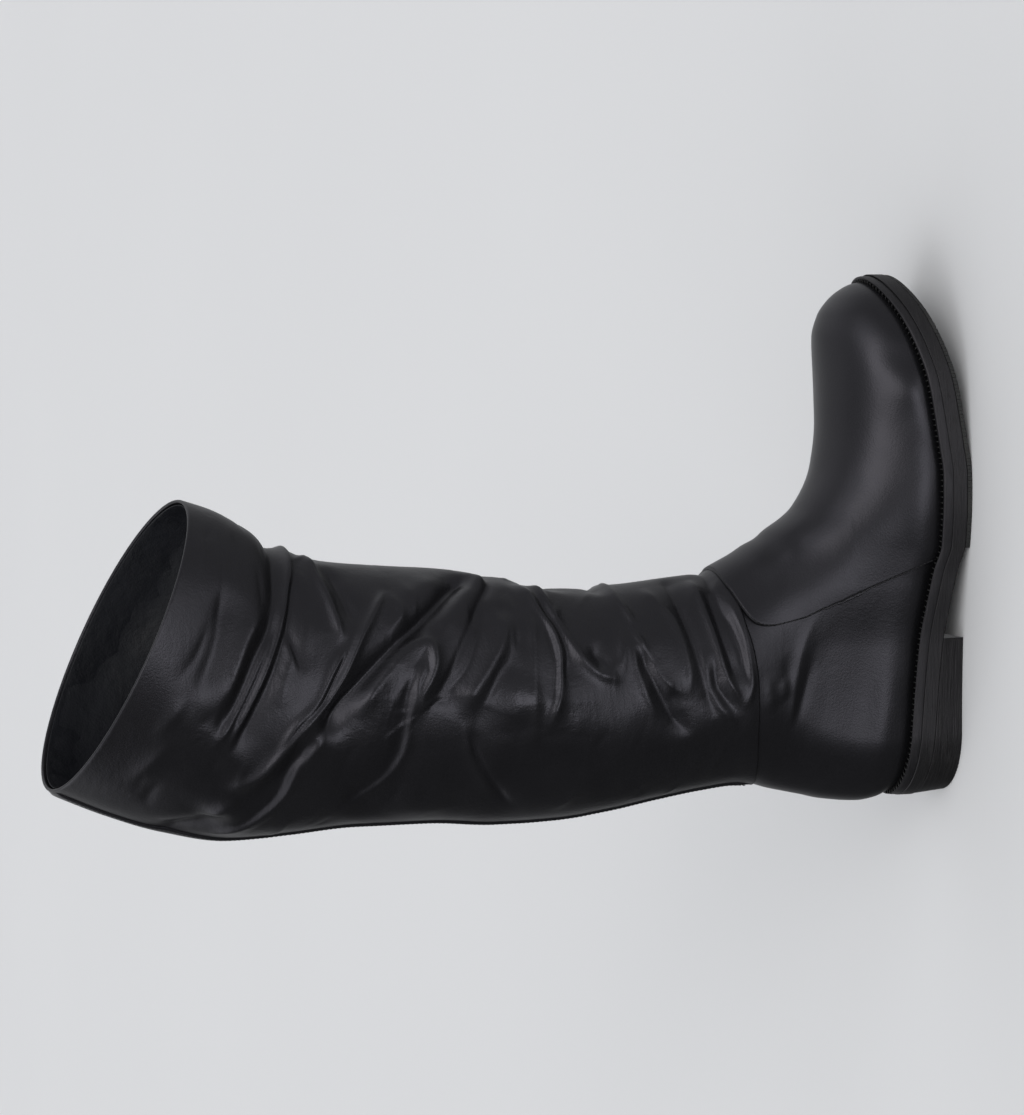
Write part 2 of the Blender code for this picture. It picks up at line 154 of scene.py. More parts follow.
def cut_across(ring, limit, side):
    """A closed ring with the part beyond a straight cut laid evenly along the cut instead.

    side is 1 where the part in front of the limit goes, and -1 where the part behind it goes.
    """
    ring = np.roll(ring, len(ring) // 2 if side < 0 else 0, axis=0)
    beyond = np.flatnonzero((ring[:, 0] - limit) * side > 0)
    ends = []
    for inside, outside in ((beyond[0] - 1, beyond[0]), (beyond[-1] + 1, beyond[-1])):
        share = (limit - ring[inside, 0]) / (ring[outside, 0] - ring[inside, 0])
        ends.append(ring[inside, 1] * (1 - share) + ring[outside, 1] * share)
    ring[beyond] = np.column_stack((np.full(len(beyond), limit), np.linspace(*ends, len(beyond))))
    return ring


def sole_layer(profile, back=None, front=None, steps=EDGE_STEPS):
    """Closed skin of a layer of the sole, as rings from the middle of its underside to the middle of its top.

    Each pair of the profile is a reach beyond the footprint and a height, both functions of from_heel. A ring
    is the footprint moved outwards by the reach, cut straight across at the back or front where that is
    given, and the first and last are drawn in towards the middle line of the foot in a few shares.
    """
    edge, outwards = footprint_loop(steps)
    drawn_in = (0.0, 0.4, 0.75, 0.95)
    stations = [(*profile[0], share) for share in drawn_in] + [(*pair, 1.0) for pair in profile]
    stations += [(*profile[-1], share) for share in drawn_in[::-1]]
    low = FOOTPRINT_BACK + HEEL_ROUND if back is None else back + HEEL_ROUND
    high = FOOTPRINT_FRONT - TOE_ROUND if front is None else front - HEEL_ROUND
    rings = []
    for reach, height, share in stations:
        ring = edge + outwards * reach(edge[:, 0])[:, None]
        ring = ring if back is None else cut_across(ring, back, -1)
        ring = ring if front is None else cut_across(ring, front, 1)
        middle = np.clip(ring[:, 0], low, high)
        middle = np.column_stack((middle, footprint_centre(middle)))
        ring = middle + (ring - middle) * share
        rings.append(np.column_stack((ring, height(ring[:, 0]))))
    return np.array(rings)


def grid_faces(rows, columns, close_rows=False, close_columns=False):
    """Four-cornered faces over a grid of points numbered row by row, joined end to end where asked."""
    row, col = np.meshgrid(np.arange(rows if close_rows else rows - 1),
                           np.arange(columns if close_columns else columns - 1), indexing="ij")
    up, on = (row + 1) % rows, (col + 1) % columns
    corners = (row * columns + col, row * columns + on, up * columns + on, up * columns + col)
    return np.stack(corners, -1).reshape(-1, 4)


def add_piece(name, points, faces, finish, sharp=None, marks=None):
    """Mesh object from points in millimetres.

    Points that coincide are joined, and the faces are turned outwards by the sign of the volume that they
    close. marks are values per point that a finish reads by name.
    """
    mesh = bpy.data.meshes.new(name)
    places = (np.asarray(points).reshape(-1, 3) - (HEEL_CENTRE, 0, 0)) * MM
    mesh.from_pydata(places.tolist(), [], faces.tolist() if isinstance(faces, np.ndarray) else faces)
    for mark, values in (marks or {}).items():
        mesh.attributes.new(mark, "FLOAT", "POINT").data.foreach_set("value", np.ravel(values))
    shape = bmesh.new()
    shape.from_mesh(mesh)
    bmesh.ops.remove_doubles(shape, verts=shape.verts, dist=0.000002)
    bmesh.ops.dissolve_degenerate(shape, edges=shape.edges, dist=0.000001)
    if shape.calc_volume(signed=True) < 0:
        bmesh.ops.reverse_faces(shape, faces=shape.faces)
    shape.to_mesh(mesh)
    shape.free()
    mesh.shade_smooth()
    if sharp:
        mesh.set_sharp_from_angle(angle=np.radians(sharp))
    mesh.materials.append(finish)
    piece = bpy.data.objects.new(name, mesh)
    bpy.context.scene.collection.objects.link(piece)
    return piece


class Socket:
    """An output in a material's nodes. Sums and products of sockets and numbers add their Math nodes."""

    def __init__(self, tree, output=None):
        self.tree = tree
        self.output = output

    def node(self, kind, settings=None, sockets=None, output=0):
        """Add a node of a kind: its settings are set first, then the values or links of its sockets."""
        made = self.tree.nodes.new(kind)
        for name, value in (settings or {}).items():
            setattr(made, name, value)
        for name, value in (sockets or {}).items():
            if isinstance(value, Socket):
                self.tree.links.new(value.output, made.inputs[name])
            else:
                made.inputs[name].default_value = value
        return Socket(self.tree, made.outputs[output] if made.outputs else None)

    def __add__(self, other):
        return self.node("ShaderNodeMath", {"operation": "ADD"}, {0: self, 1: other})

    def __sub__(self, other):
        return self.node("ShaderNodeMath", {"operation": "SUBTRACT"}, {0: self, 1: other})

    def __rsub__(self, other):
        return self.node("ShaderNodeMath", {"operation": "SUBTRACT"}, {0: other, 1: self})

    def __mul__(self, other):
        return self.node("ShaderNodeMath", {"operation": "MULTIPLY"}, {0: self, 1: other})

    __radd__ = __add__
    __rmul__ = __mul__


def new_finish(name):
    """An empty material, and the socket class's start in its nodes."""
    finish = bpy.data.materials.new(name)
    finish.use_nodes = True
    finish.node_tree.nodes.clear()
    return finish, Socket(finish.node_tree)


def noise(start, place, size, stretch=(1, 1, 1), detail=2.0):
    """Cloudy noise from 0 to 1 with blots of about a size in millimetres, stretched along the axes."""
    scaled = start.node("ShaderNodeMapping", None, {"Vector": place, "Scale": stretch})
    sockets = {"Vector": scaled, "Scale": 1 / (size * MM), "Detail": detail}
    return start.node("ShaderNodeTexNoise", None, sockets)


def ramp(start, value, low, high, to_low=0.0, to_high=1.0):
    """A value carried smoothly from one range to another."""
    sockets = {"Value": value, "From Min": low, "From Max": high, "To Min": to_low, "To Max": to_high}
    return start.node("ShaderNodeMapRange", {"interpolation_type": "SMOOTHSTEP"}, sockets)


def shade(start, factor, first, second):
    """A colour between two colours."""
    return start.node("ShaderNodeMix", {"data_type": "RGBA"}, {0: factor, 6: first, 7: second}, output=2)


def cover(start, height, sockets):
    """Close a material: a Principled surface with a bump whose height is in metres."""
    bump = start.node("ShaderNodeBump", None, {"Height": height, "Distance": 1.0, "Strength": 1.0})
    surface = start.node("ShaderNodeBsdfPrincipled", None, {**sockets, "Normal": bump})
    start.node("ShaderNodeOutputMaterial", None, {"Surface": surface})


def lining_finish(name):
    """Dark blue-black lining leather: satin, with a fine pebble and a slow change of tone."""
    finish, start = new_finish(name)
    place = start.node("ShaderNodeTexCoord", output="Object")
    pebble = start.node("ShaderNodeTexVoronoi", {"feature": "SMOOTH_F1"}, {"Vector": place, "Scale": 1100.0})
    tone = noise(start, place, 22)
    height = pebble * (0.10 * MM) + noise(start, place, 7) * (0.5 * MM)
    colour = shade(start, tone, LINING_COLOUR, (0.0065, 0.0072, 0.0105, 1.0))
    cover(start, height, {"Base Color": colour, "Roughness": ramp(start, tone, 0.3, 0.7, 0.5, 0.62),
                          "Specular IOR Level": 0.25})
    return finish


def level_reach(amount):
    """The same reach beyond the footprint all along the sole."""
    return lambda x: np.full_like(x, amount)


lining_leather = lining_finish("lining_leather")
insole_profile = [
    (level_reach(-INSOLE_INSET - 0.5), lambda x: sole_top(x) + LAYER_GAP),
    (level_reach(-INSOLE_INSET), lambda x: sole_top(x) + LAYER_GAP + 0.6),
    (level_reach(-INSOLE_INSET), lambda x: sole_top(x) + LAYER_GAP + INSOLE - 0.8),
    (level_reach(-INSOLE_INSET - 0.8), lambda x: sole_top(x) + LAYER_GAP + INSOLE),
]
insole_rings = sole_layer(insole_profile, steps=270)
insole = add_piece("insole_board", insole_rings, grid_faces(*insole_rings.shape[:2], close_columns=True),
                   lining_leather, sharp=50)
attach(insole, "root")
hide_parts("insole")


# Foot leather: the counter and quarters round the heel, black smooth leather 1.3 mm thick. It is lasted onto
# the sole, runs forward under the vamp and goes up a little way behind the lower edge of the leg.

LEATHER = 1.3
TUCK = 3.2
TUCK_HEIGHT = 7.0
VAMP_CROWN = 2.4
LEG_RADIUS = 60.0
FOLD_CREST = 0.8
FOLD_FADE = 16.0
FOLD_SKIRT = 4.0
SLUMP = 0.2
ARC = np.radians(1) * LEG_RADIUS

# Crest of the vamp: from_heel, height
VAMP_CREST = [
    (20, 900), (60, 520), (90, 300), (110, 200), (128, 140), (134.5, 123.5), (146, 104), (161, 84.5),
    (184, 71.5), (209, 67), (233, 66.5), (254, 67), (266, 64), (274, 58.5), (280, 51), (283, 43.5),
    (283.5, 36),
]

# Sections of the upper from the sole to the collar. back and front are from_heel, each with its height,
# back_round is the length of the rounding at the heel or calf, side the leg's half width, foot the share of
# the foot's shape against the leg's, lean what the inner rim lies above the outer one
SECTION_COLUMNS = ("back", "back_height", "front", "front_height", "back_round", "side", "foot", "lean")
SECTIONS = np.array([
    (5.0, 27.3, 283.5, 36, 32, 34, 1.0, 0),
    (3.4, 33, 283.0, 43.5, 33, 34, 1.0, 0),
    (-0.2, 42, 280, 51, 35, 34, 1.0, 0),
    (-1.2, 51, 274, 58.5, 36, 34, 1.0, 0),
    (-1.0, 59, 266, 64, 37, 35, 1.0, 0),
    (-0.2, 67, 254, 67, 38, 35, 1.0, 0),
    (1.0, 75, 233, 66.5, 39, 36, 1.0, 0),
    (3.0, 83, 209, 67, 40, 36, 1.0, 0),
    (5.0, 92, 184, 71.5, 42, 37, 0.95, 0),
    (7.0, 101, 161, 84.5, 44, 38, 0.8, 0),
    (9.0, 109, 146, 104, 46, 39, 0.5, 0),
    (10.5, 117, 134.5, 123.5, 48, 40, 0.2, 0),
    (11.0, 126, 128, 140, 50, 41, 0, 0),
    (9.0, 145, 124.5, 165, 52, 43, 0, 0),
    (5.0, 170, 122, 188, 54, 45, 0, 0),
    (0.0, 198, 121, 211, 56, 47, 0, 0),
    (-3.5, 228, 124, 235, 60, 49, 0, 0),
    (-4.5, 262, 129.5, 262, 64, 50, 0, 0),
    (-2.0, 300, 133.5, 294, 66, 51, 0, 0),
    (-2.0, 338, 136, 326, 68, 52, 0, 0.5),
    (-4.5, 374, 139.5, 355, 70, 53, 0, 2),
    (-6.5, 408, 149.5, 381, 74, 54, 0, 3),
    (0.0, 443, 160.5, 400, 76, 56, 0, 4.5),
    (10.0, 473, 168, 415, 76, 57, 0, 6),
    (22.0, 501, 173, 430, 76, 58, 0, 7),
], float)
LEVELS = (SECTIONS[:, 1] + SECTIONS[:, 3]) / 2
SOLE_LEVEL, RIM_LEVEL = LEVELS[0], LEVELS[-1]

# Folds and creases: lift, how far they fall away left and right of their path, and the path
# as places of turn, in degrees from the front with the outer side positive, and level, the section's mean
# height. A ridge has a positive lift and a trough a negative one; left of a path that runs backwards is
# above it
FOLDS = [
    # Collar cuff, outer side
    (-2.4, 4, 6, [(54, 437), (78, 433.5), (102, 437)]),
    (2.6, 5, 3, [(60, 402), (65, 411), (74, 416.5), (90, 420), (108, 426)]),
    (1.2, 2.4, 3, [(99, 440), (120, 449)]),
    (1.4, 2.4, 3, [(114, 439), (143, 449)]),
    # Roll under the cuff
    (-4.4, 4, 7, [(-60, 403), (0, 398), (40, 399), (58, 400), (80, 409), (98, 415), (112, 421)]),
    (2.2, 1.4, 1.4, [(46, 395), (60, 398), (80, 406.3), (100, 413.3), (108, 417.5), (117, 424)]),
    (-1.4, 1.2, 1.2, [(56, 396.2), (80, 404.6), (100, 411.7), (110, 416)]),
    (2.6, 1.4, 2, [(-75, 388), (0, 388), (30, 390), (60, 395.5), (80, 402), (100, 409), (114, 414)]),
    (-2.8, 1.8, 4, [(30, 386), (60, 391.5), (80, 398), (100, 405.7), (118, 413)]),
    (1.6, 2, 1.5, [(61, 395), (70, 390.5), (81, 383)]),
    (-1.8, 1.5, 3, [(60, 391), (70, 387.3), (80, 380)]),
    (1.3, 5, 4, [(66, 389), (80, 391), (96, 392)]),
    (1.2, 5, 5, [(48, 378), (60, 382), (74, 376)]),
    # Pair of ridges that runs from the front up to the calf, and the wing before them
    (2.0, 1.4, 1.3, [(62, 356), (75, 364), (90, 371.5), (100, 382), (113, 391.5)]),
    (-2.0, 1.2, 1.2, [(66, 356.3), (80, 364), (90, 369.6), (100, 380), (110, 388)]),
    (3.2, 1.6, 3, [(32, 331), (48, 341), (62, 350), (80, 360), (90, 367), (100, 377.8), (110, 386),
                   (120, 394.5), (126, 402), (131, 412)]),
    (3.4, 2.2, 3, [(5, 378), (25, 375), (42, 369), (56, 363.5), (68, 358.5)]),
    (-2.6, 3.4, 3, [(15, 366), (34, 360), (48, 355), (60, 350)]),
    # Deep trough under them, and the ridge that closes it towards the calf
    (-6.6, 3.2, 4, [(12, 277), (30, 292), (46, 306), (56, 317), (64, 327), (72, 336.5), (80, 346), (90, 358),
                    (98, 363.5), (107, 369)]),
    (-2.2, 4, 4, [(100, 369), (112, 376.5), (124, 385), (132, 394), (138, 407)]),
    (2.4, 1.5, 5, [(99, 363), (108, 368.8), (119, 377), (131, 380), (145, 389), (158, 400.5), (168, 407)]),
    (-1.6, 3, 1.4, [(106, 370), (119, 379.6), (131, 382.5), (145, 391.5), (158, 403.5)]),
    (3.4, 2.6, 4, [(132, 401), (141, 407.5), (150, 413.5)]),
    (-4.0, 4, 4, [(143, 400), (154, 411), (164, 419), (178, 424)]),
    # Tongue that the trough bends round, with a long ridge and hollow inside it
    (3.8, 4.5, 3, [(98, 350), (92, 346.5), (86, 342.5), (76, 334), (68, 326), (63.5, 318.5), (62.5, 312),
                   (65, 308), (71, 307.2), (80, 310.3), (88, 314.3), (94, 314.3), (97, 309)]),
    (-1.7, 1.4, 1.3, [(65.5, 314), (69, 310.7), (75, 310.8), (84, 315), (92, 317.3)]),
    (1.8, 1.3, 3, [(72, 313), (84, 316.8), (94, 318.3), (110, 319), (119, 322), (128, 328), (138, 337.5),
                   (148, 348.5)]),
    (-3.6, 5, 10, [(74, 316), (84, 319), (94, 320.6), (110, 321.4), (119, 324.5), (128, 330.5), (138, 340),
                   (146, 350)]),
    (1.2, 2, 2, [(70, 317), (84, 325), (98, 330)]),
    # Front of the shin beside the trough
    (2.6, 5, 4, [(6, 265), (28, 280), (48, 296), (62, 308)]),
    (-2.6, 2.2, 3, [(-14, 263), (20, 267.5), (40, 277), (60, 289), (80, 300.5), (93, 309)]),
    (1.6, 2.4, 2.4, [(44, 281), (68, 294.5), (88, 307)]),
    (-2.2, 2.6, 3, [(34, 271), (58, 280), (74, 287.5), (84, 297), (92, 305)]),
    (2.0, 2.6, 2.6, [(34, 333), (48, 325), (60, 335)]),
    (1.6, 5, 5, [(18, 296), (34, 314), (42, 331)]),
    (2.8, 4, 4, [(40, 261), (60, 268), (70, 274), (80, 282), (90, 288.5), (98, 292)]),
    (-1.6, 4, 5, [(46, 254), (60, 258.5), (70, 264), (80, 271.5), (92, 280), (104, 286)]),
    (-1.4, 1.5, 1.5, [(98, 287), (112, 283), (124, 275.5), (138, 264.5), (148, 257)]),
    (1.0, 1.8, 2, [(98, 291.5), (114, 286), (128, 276), (140, 266.5)]),
    (2.4, 8, 8, [(72, 258), (86, 261), (102, 258)]),
    # Lens at mid leg
    (1.2, 2.4, 2.4, [(36, 247), (60, 249.5), (90, 252.5), (104, 252), (111, 248)]),
    (2.8, 2, 2.6, [(14, 251), (26, 247), (38, 243.8), (48, 238.6), (56, 235.6), (63, 234.6), (74, 236),
                   (90, 240.5), (104, 246)]),
    (-1.7, 1.4, 1.2, [(40, 245.5), (54, 239), (66, 237.2), (80, 239.5), (94, 243.8)]),
    (-2.4, 1.8, 5, [(28, 241), (42, 236.5), (52, 231.5), (62, 229.3), (74, 231.5), (84, 234.5)]),
    (2.8, 2, 3.6, [(6, 240), (24, 237.5), (42, 233), (56, 227.5), (66, 221.5), (73, 213.5), (77, 204),
                   (79, 197)]),
    (-2.4, 2.6, 4, [(58, 218), (65, 210.5), (72, 203.5)]),
    (1.6, 2.2, 2.6, [(44, 191), (60, 195.5), (80, 200)]),
    (-5.0, 5, 5, [(-45, 235), (-10, 232.5), (22, 234.5)]),
    (-2.0, 3, 3, [(-30, 197.5), (24, 197.5)]),
    # Lower leg and ankle
    (2.2, 1.8, 2.6, [(46, 188.5), (57, 185.3), (70, 180.8), (80, 177), (87, 171), (92, 162)]),
    (-3.4, 3, 3, [(58, 185.5), (70, 183.3), (80, 180.5), (92, 177), (104, 172), (115, 164)]),
    (1.4, 1.6, 1.8, [(54, 190), (70, 190), (86, 187.5), (104, 181)]),
    (1.8, 1.6, 2.4, [(-42, 181), (0, 189), (22, 189.5), (40, 186.5), (56, 182.5)]),
    (1.5, 2.2, 2.8, [(16, 171), (34, 166.5), (52, 161), (74, 160), (96, 163.5)]),
    (-2.2, 2.2, 3, [(2, 153), (36, 155), (70, 153.3), (108, 150.5)]),
    (1.5, 1.5, 2, [(66, 150), (88, 150.8), (98, 148.5), (106, 144), (117, 137.5)]),
    (-1.8, 1.6, 1.6, [(72, 146), (88, 146.3), (98, 142.8), (109, 136)]),
    (2.0, 1.5, 1.6, [(12, 143.5), (40, 143.5), (66, 142.6), (86, 140.8), (96, 136.5), (104, 130.5)]),
    (-1.8, 1.6, 2, [(30, 139), (60, 138.2), (80, 136), (94, 132.5)]),
    (-2.6, 3.2, 1.6, [(-60, 135), (0, 133.5), (28, 134.5), (46, 134), (62, 131), (80, 128.7), (94, 130)]),
    (1.0, 1.3, 1.3, [(20, 132.5), (34, 134), (50, 133.5)]),
    (1.6, 1.5, 2, [(38, 131), (56, 128.3), (72, 126), (90, 126), (100, 129.5), (106, 134)]),
    # Quarter, outer side
    (-1.2, 2.6, 3, [(90, 89), (101, 87), (112, 89.5), (124, 93.5)]),
    (1.0, 3, 3, [(76, 87.5), (95, 93.5), (113, 96), (124, 98)]),
    (-0.6, 2.2, 2.4, [(86, 104), (98, 99.5), (107, 97)]),
    (0.8, 3, 3, [(90, 116), (102, 113), (112, 110)]),
    (0.7, 2.4, 2.4, [(96, 104.5), (108, 101.5)]),
    # Flexing of the instep on the vamp
    (0.9, 2.6, 3, [(-40, 112), (0, 113.5), (40, 111.5)]),
    (-0.8, 3, 2.6, [(-30, 107.5), (0, 108.5), (38, 106.5)]),
    (0.8, 2.6, 3, [(-42, 102), (0, 104), (48, 100.5)]),
    (-0.5, 3, 3, [(20, 98), (46, 96)]),
]

# Folds of the calf and of the inner side, in the same form. One strength raises all their lifts, which are kept
# to a tenth of a millimetre
FAR_STRENGTH = 1.4
FAR_FOLDS = [
    # Soft swells and hollows down the calf
    (1.3, 9, 9, [(133, 208), (135, 240), (141, 268)]),
    (-1.1, 8, 8, [(119, 205), (121, 245), (115, 276)]),
    (1.1, 7, 7, [(146, 284), (147, 305), (146, 326)]),
    # Inner side: ledges over sharp troughs, with smaller folds between
    (1.4, 3.5, 4, [(-55, 446), (-85, 442), (-110, 446), (-138, 453)]),
    (1.5, 3, 3, [(-66, 432), (-95, 430), (-128, 439)]),
    (-4.0, 5, 3, [(-162, 433), (-130, 424), (-95, 411), (-50, 407)]),
    (3.6, 2.4, 4, [(-168, 426), (-145, 418), (-120, 406), (-95, 396.5), (-66, 391)]),
    (-2.5, 3, 3, [(-152, 409), (-125, 396), (-95, 386), (-60, 380), (-26, 381)]),
    (3.9, 2.8, 3, [(-172, 362), (-145, 355), (-115, 351), (-80, 350), (-45, 354), (-12, 361)]),
    (-4.2, 2.2, 4, [(-154, 343), (-120, 337), (-85, 336), (-50, 340), (-16, 346)]),
    (2.4, 3, 4, [(-140, 325), (-100, 318), (-70, 322), (-36, 331)]),
    (2.6, 4, 4, [(-144, 264), (-112, 280), (-85, 294), (-55, 300), (-20, 296)]),
    (-2.4, 3, 3, [(-118, 268), (-88, 284), (-60, 290), (-26, 286)]),
    (1.6, 3, 3, [(-112, 254), (-85, 268), (-56, 276)]),
    (3.6, 2.5, 3, [(-158, 203), (-130, 212), (-100, 222), (-70, 228), (-40, 232), (-12, 241)]),
    (-3.5, 2.1, 3.4, [(-136, 197), (-102, 208), (-72, 214), (-45, 219), (-16, 229)]),
    (1.8, 3, 3, [(-104, 195), (-75, 203), (-46, 209)]),
    (2.6, 3, 3, [(-134, 170), (-100, 172), (-70, 178), (-40, 186), (-10, 191)]),
    (-2.2, 2.4, 3, [(-112, 160), (-78, 165), (-48, 172), (-18, 179)]),
    (2.0, 2.4, 2.4, [(-128, 159), (-105, 152), (-75, 150), (-45, 155), (-12, 158)]),
    (-2.0, 2.1, 2.4, [(-102, 144), (-75, 142), (-45, 146), (-12, 149)]),
    (2.2, 2.3, 2.4, [(-108, 135), (-95, 128), (-75, 126), (-50, 129), (-18, 132)]),
    (-1.8, 2.3, 2.4, [(-130, 97.5), (-114, 92), (-100, 89), (-86, 92.5)]),
    (1.2, 2.8, 2.8, [(-126, 100.5), (-112, 98), (-95, 96), (-78, 90.5)]),
]
FOLDS += [(round(lift * FAR_STRENGTH, 1), left, right, path) for lift, left, right, path in FAR_FOLDS]

# Swells and dents on both sides of the foot: lift, from_heel, height above the sole, reach along it and up it
FOOT_SWELLS = [
    (1.7, 48, 21, 44, 10), (-0.9, 20, 16, 20, 9), (0.8, 150, 17, 40, 8), (-0.9, 243, 15, 8, 11),
    (0.7, 226, 16, 9, 9), (-0.6, 206, 20, 10, 12),
]


def vamp_crest(x):
    """Height of the vamp's crest, read from one fine run of its curve."""
    fine = np.linspace(VAMP_CREST[0][0], VAMP_CREST[-1][0], 1500)
    return np.interp(x, fine, column(VAMP_CREST, 1)(fine))


def smooth_upper(turn, level):
    """Outer face of the upper without its folds, at turns in degrees and levels in millimetres.

    from_heel goes from back to front as (1 + cos turn) / 2. At the foot the half width is the footprint's
    times the root of 1 - crown ** 2.4, crown being the share of the way up to the vamp's crest; at the leg
    it is an oval; both close at the back on a quarter circle. The height runs from back to front along a
    straight line that bends with the sole at the foot.
    """
    row = np.interp(level, LEVELS, np.arange(len(LEVELS)))
    angle = np.radians(turn)
    knots = np.arange(len(SECTIONS))
    at = {name: glide(row, knots, SECTIONS[:, i]) for i, name in enumerate(SECTION_COLUMNS)}
    length = at["front"] - at["back"]
    x = at["back"] + length * (1 + np.cos(angle)) / 2
    front_height = at["foot"] * vamp_crest(at["front"]) + (1 - at["foot"]) * at["front_height"]
    share = (x - at["back"]) / length
    bend = sole_top(x) - sole_top(at["back"]) * (1 - share) - sole_top(at["front"]) * share
    z = at["back_height"] * (1 - share) + front_height * share + bend * at["foot"]

    above_sole = np.maximum(z - sole_top(x), 0)
    crown = np.clip(above_sole / (vamp_crest(x) - sole_top(x)), 0, 1)
    toe = round_end((FOOTPRINT_FRONT - x) / TOE_ROUND)
    foot_half = footprint_half(x) * toe * np.sqrt(1 - crown ** VAMP_CROWN)
    foot_half = np.maximum(foot_half - TUCK * toe * bell(above_sole, TUCK_HEIGHT), 0)
    leg_half = at["side"] * round_end((at["front"] - x) / (length - at["back_round"]))
    half = round_end((x - at["back"]) / at["back_round"])
    half = half * (at["foot"] * foot_half + (1 - at["foot"]) * leg_half)
    y = footprint_centre(x) * at["foot"] - np.sign(np.sin(angle)) * half
    return np.stack((x, y, z + at["lean"] * y / at["side"]), -1)


def small_wrinkles(count):
    """Short shallow creases strewn over the leg, most of them across it, tilted by up to 40 degrees."""
    strewn = np.random.default_rng(7)
    wrinkles = []
    for turn, level, tilt, half, lift, width in zip(
            strewn.uniform(-165, 165, count), strewn.uniform(128, 455, count),
            strewn.uniform(-0.3, 0.7, count), strewn.uniform(7, 20, count),
            strewn.normal(0, 0.34, count), strewn.uniform(1.2, 2.2, count)):
        tilt = tilt if turn > 0 else -tilt
        aside, up = half * np.cos(tilt) / ARC, half * np.sin(tilt)
        bow = strewn.uniform(-3, 3)
        path = [(turn - aside, level - up), (turn, level + bow), (turn + aside, level + up)]
        wrinkles.append((lift, width, width, path))
    return wrinkles


def fold_relief(turn, level, folds):
    """How far the folds lift the leather, in millimetres.

    For each fold, the nearest place of its path gives the distance across it, d. The lift is multiplied by
    the exponential of minus (root of d squared + r squared, less r) over the width of that side, r rounding
    the crest by a share of the narrower width, with a wider skirt of the same kind under it, and by a smooth
    step up from both ends of the path.
    """
    places = np.stack((np.ravel(turn) * ARC, np.ravel(level)), -1)
    relief = np.zeros(len(places))
    for lift, left, right, path in folds:
        knots = np.array(path, float) * (ARC, 1)
        run = run_length(knots)
        at = np.linspace(0, run[-1], max(int(run[-1] / 1.5), 8))
        line = np.stack((glide(at, run, knots[:, 0]), glide(at, run, knots[:, 1])), -1)
        along = unit(np.gradient(line, axis=0))
        margin = 9 * max(left, right) + 4
        inside = (places > line.min(0) - margin) & (places < line.max(0) + margin)
        near = np.flatnonzero(np.all(inside, axis=1))
        if not len(near):
            continue
        there = places[near]
        nearest = np.concatenate([
            np.argmin(((part[:, None] - line) ** 2).sum(-1), axis=1)
            for part in np.array_split(there, len(there) // 20000 + 1)])
        gap = there - line[nearest]
        way = along[nearest]
        beside = way[:, 0] * gap[:, 1] - way[:, 1] * gap[:, 0]
        ahead = at[nearest] + (way * gap).sum(-1)
        fade = np.clip(np.minimum(ahead, run[-1] - ahead) / min(FOLD_FADE, 0.45 * run[-1]), 0, 1)
        crest = FOLD_CREST * min(left, right)
        away = (np.sqrt(beside ** 2 + crest ** 2) - crest) / np.where(beside > 0, left, right)
        across = 0.75 * np.exp(-away) + 0.25 * np.exp(-away / FOLD_SKIRT)
        relief[near] += lift * fade ** 2 * (3 - 2 * fade) * across
    return relief.reshape(np.shape(turn))


wrinkles = small_wrinkles(260)


def foot_swell(turn, level):
    """Swells and dents of the foot, each a bell along the foot times a bell up its side."""
    places = smooth_upper(turn, level)
    above_sole = places[..., 2] - sole_top(places[..., 0])
    return sum(lift * bell(places[..., 0] - along, reach) * bell(above_sole - height, reach_up)
               for lift, along, height, reach, reach_up in FOOT_SWELLS)


def leather_relief(turn, level):
    """Folds, wrinkles and the foot's swells together, calmed towards the stiff collar rim."""
    turn = (turn + 180) % 360 - 180
    calm = 0.35 + 0.65 * np.clip((RIM_LEVEL - level) / 16, 0, 1)
    return calm * fold_relief(turn, level, FOLDS + wrinkles) + foot_swell(turn, level)


def lowest_near(relief, reach):
    """The lowest relief within a few rows and columns of each grid point, closed around the leg."""
    for axis in (0, 1):
        steps = range(-reach, reach + 1)
        padded = np.pad(relief, ((reach, reach), (0, 0)), mode="edge") if axis == 0 else relief
        moved = [np.roll(padded, step, axis=axis) for step in steps]
        relief = np.minimum.reduce(moved)
        relief = relief[reach:-reach] if axis == 0 else relief
    return relief


def upper_face(turn, level, offset=0.0, behind=0):
    """Outer face of the upper with its folds, moved outwards by an offset, and the relief of the folds.

    The folds lift the smooth face along its outward direction. Ridges also sink and troughs rise by a share
    of the lift, because the slouched leather hangs over. A layer behind the face keeps to the lowest relief
    within a few steps of its grid, so that it never comes through a trough.
    """
    turn, level = np.broadcast_arrays(np.asarray(turn, float), np.asarray(level, float))
    around = smooth_upper(turn + 1, level) - smooth_upper(turn - 1, level)
    upwards = smooth_upper(turn, np.minimum(level + 0.4, RIM_LEVEL))
    upwards = upwards - smooth_upper(turn, np.maximum(level - 0.4, SOLE_LEVEL))
    relief = leather_relief(turn, level)
    relief = lowest_near(relief, behind) if behind else relief
    points = smooth_upper(turn, level) + unit(np.cross(upwards, around)) * (offset + relief)[..., None]
    points[..., 2] -= SLUMP * relief * np.clip((level - 130) / 30, 0, 1)
    return points, relief


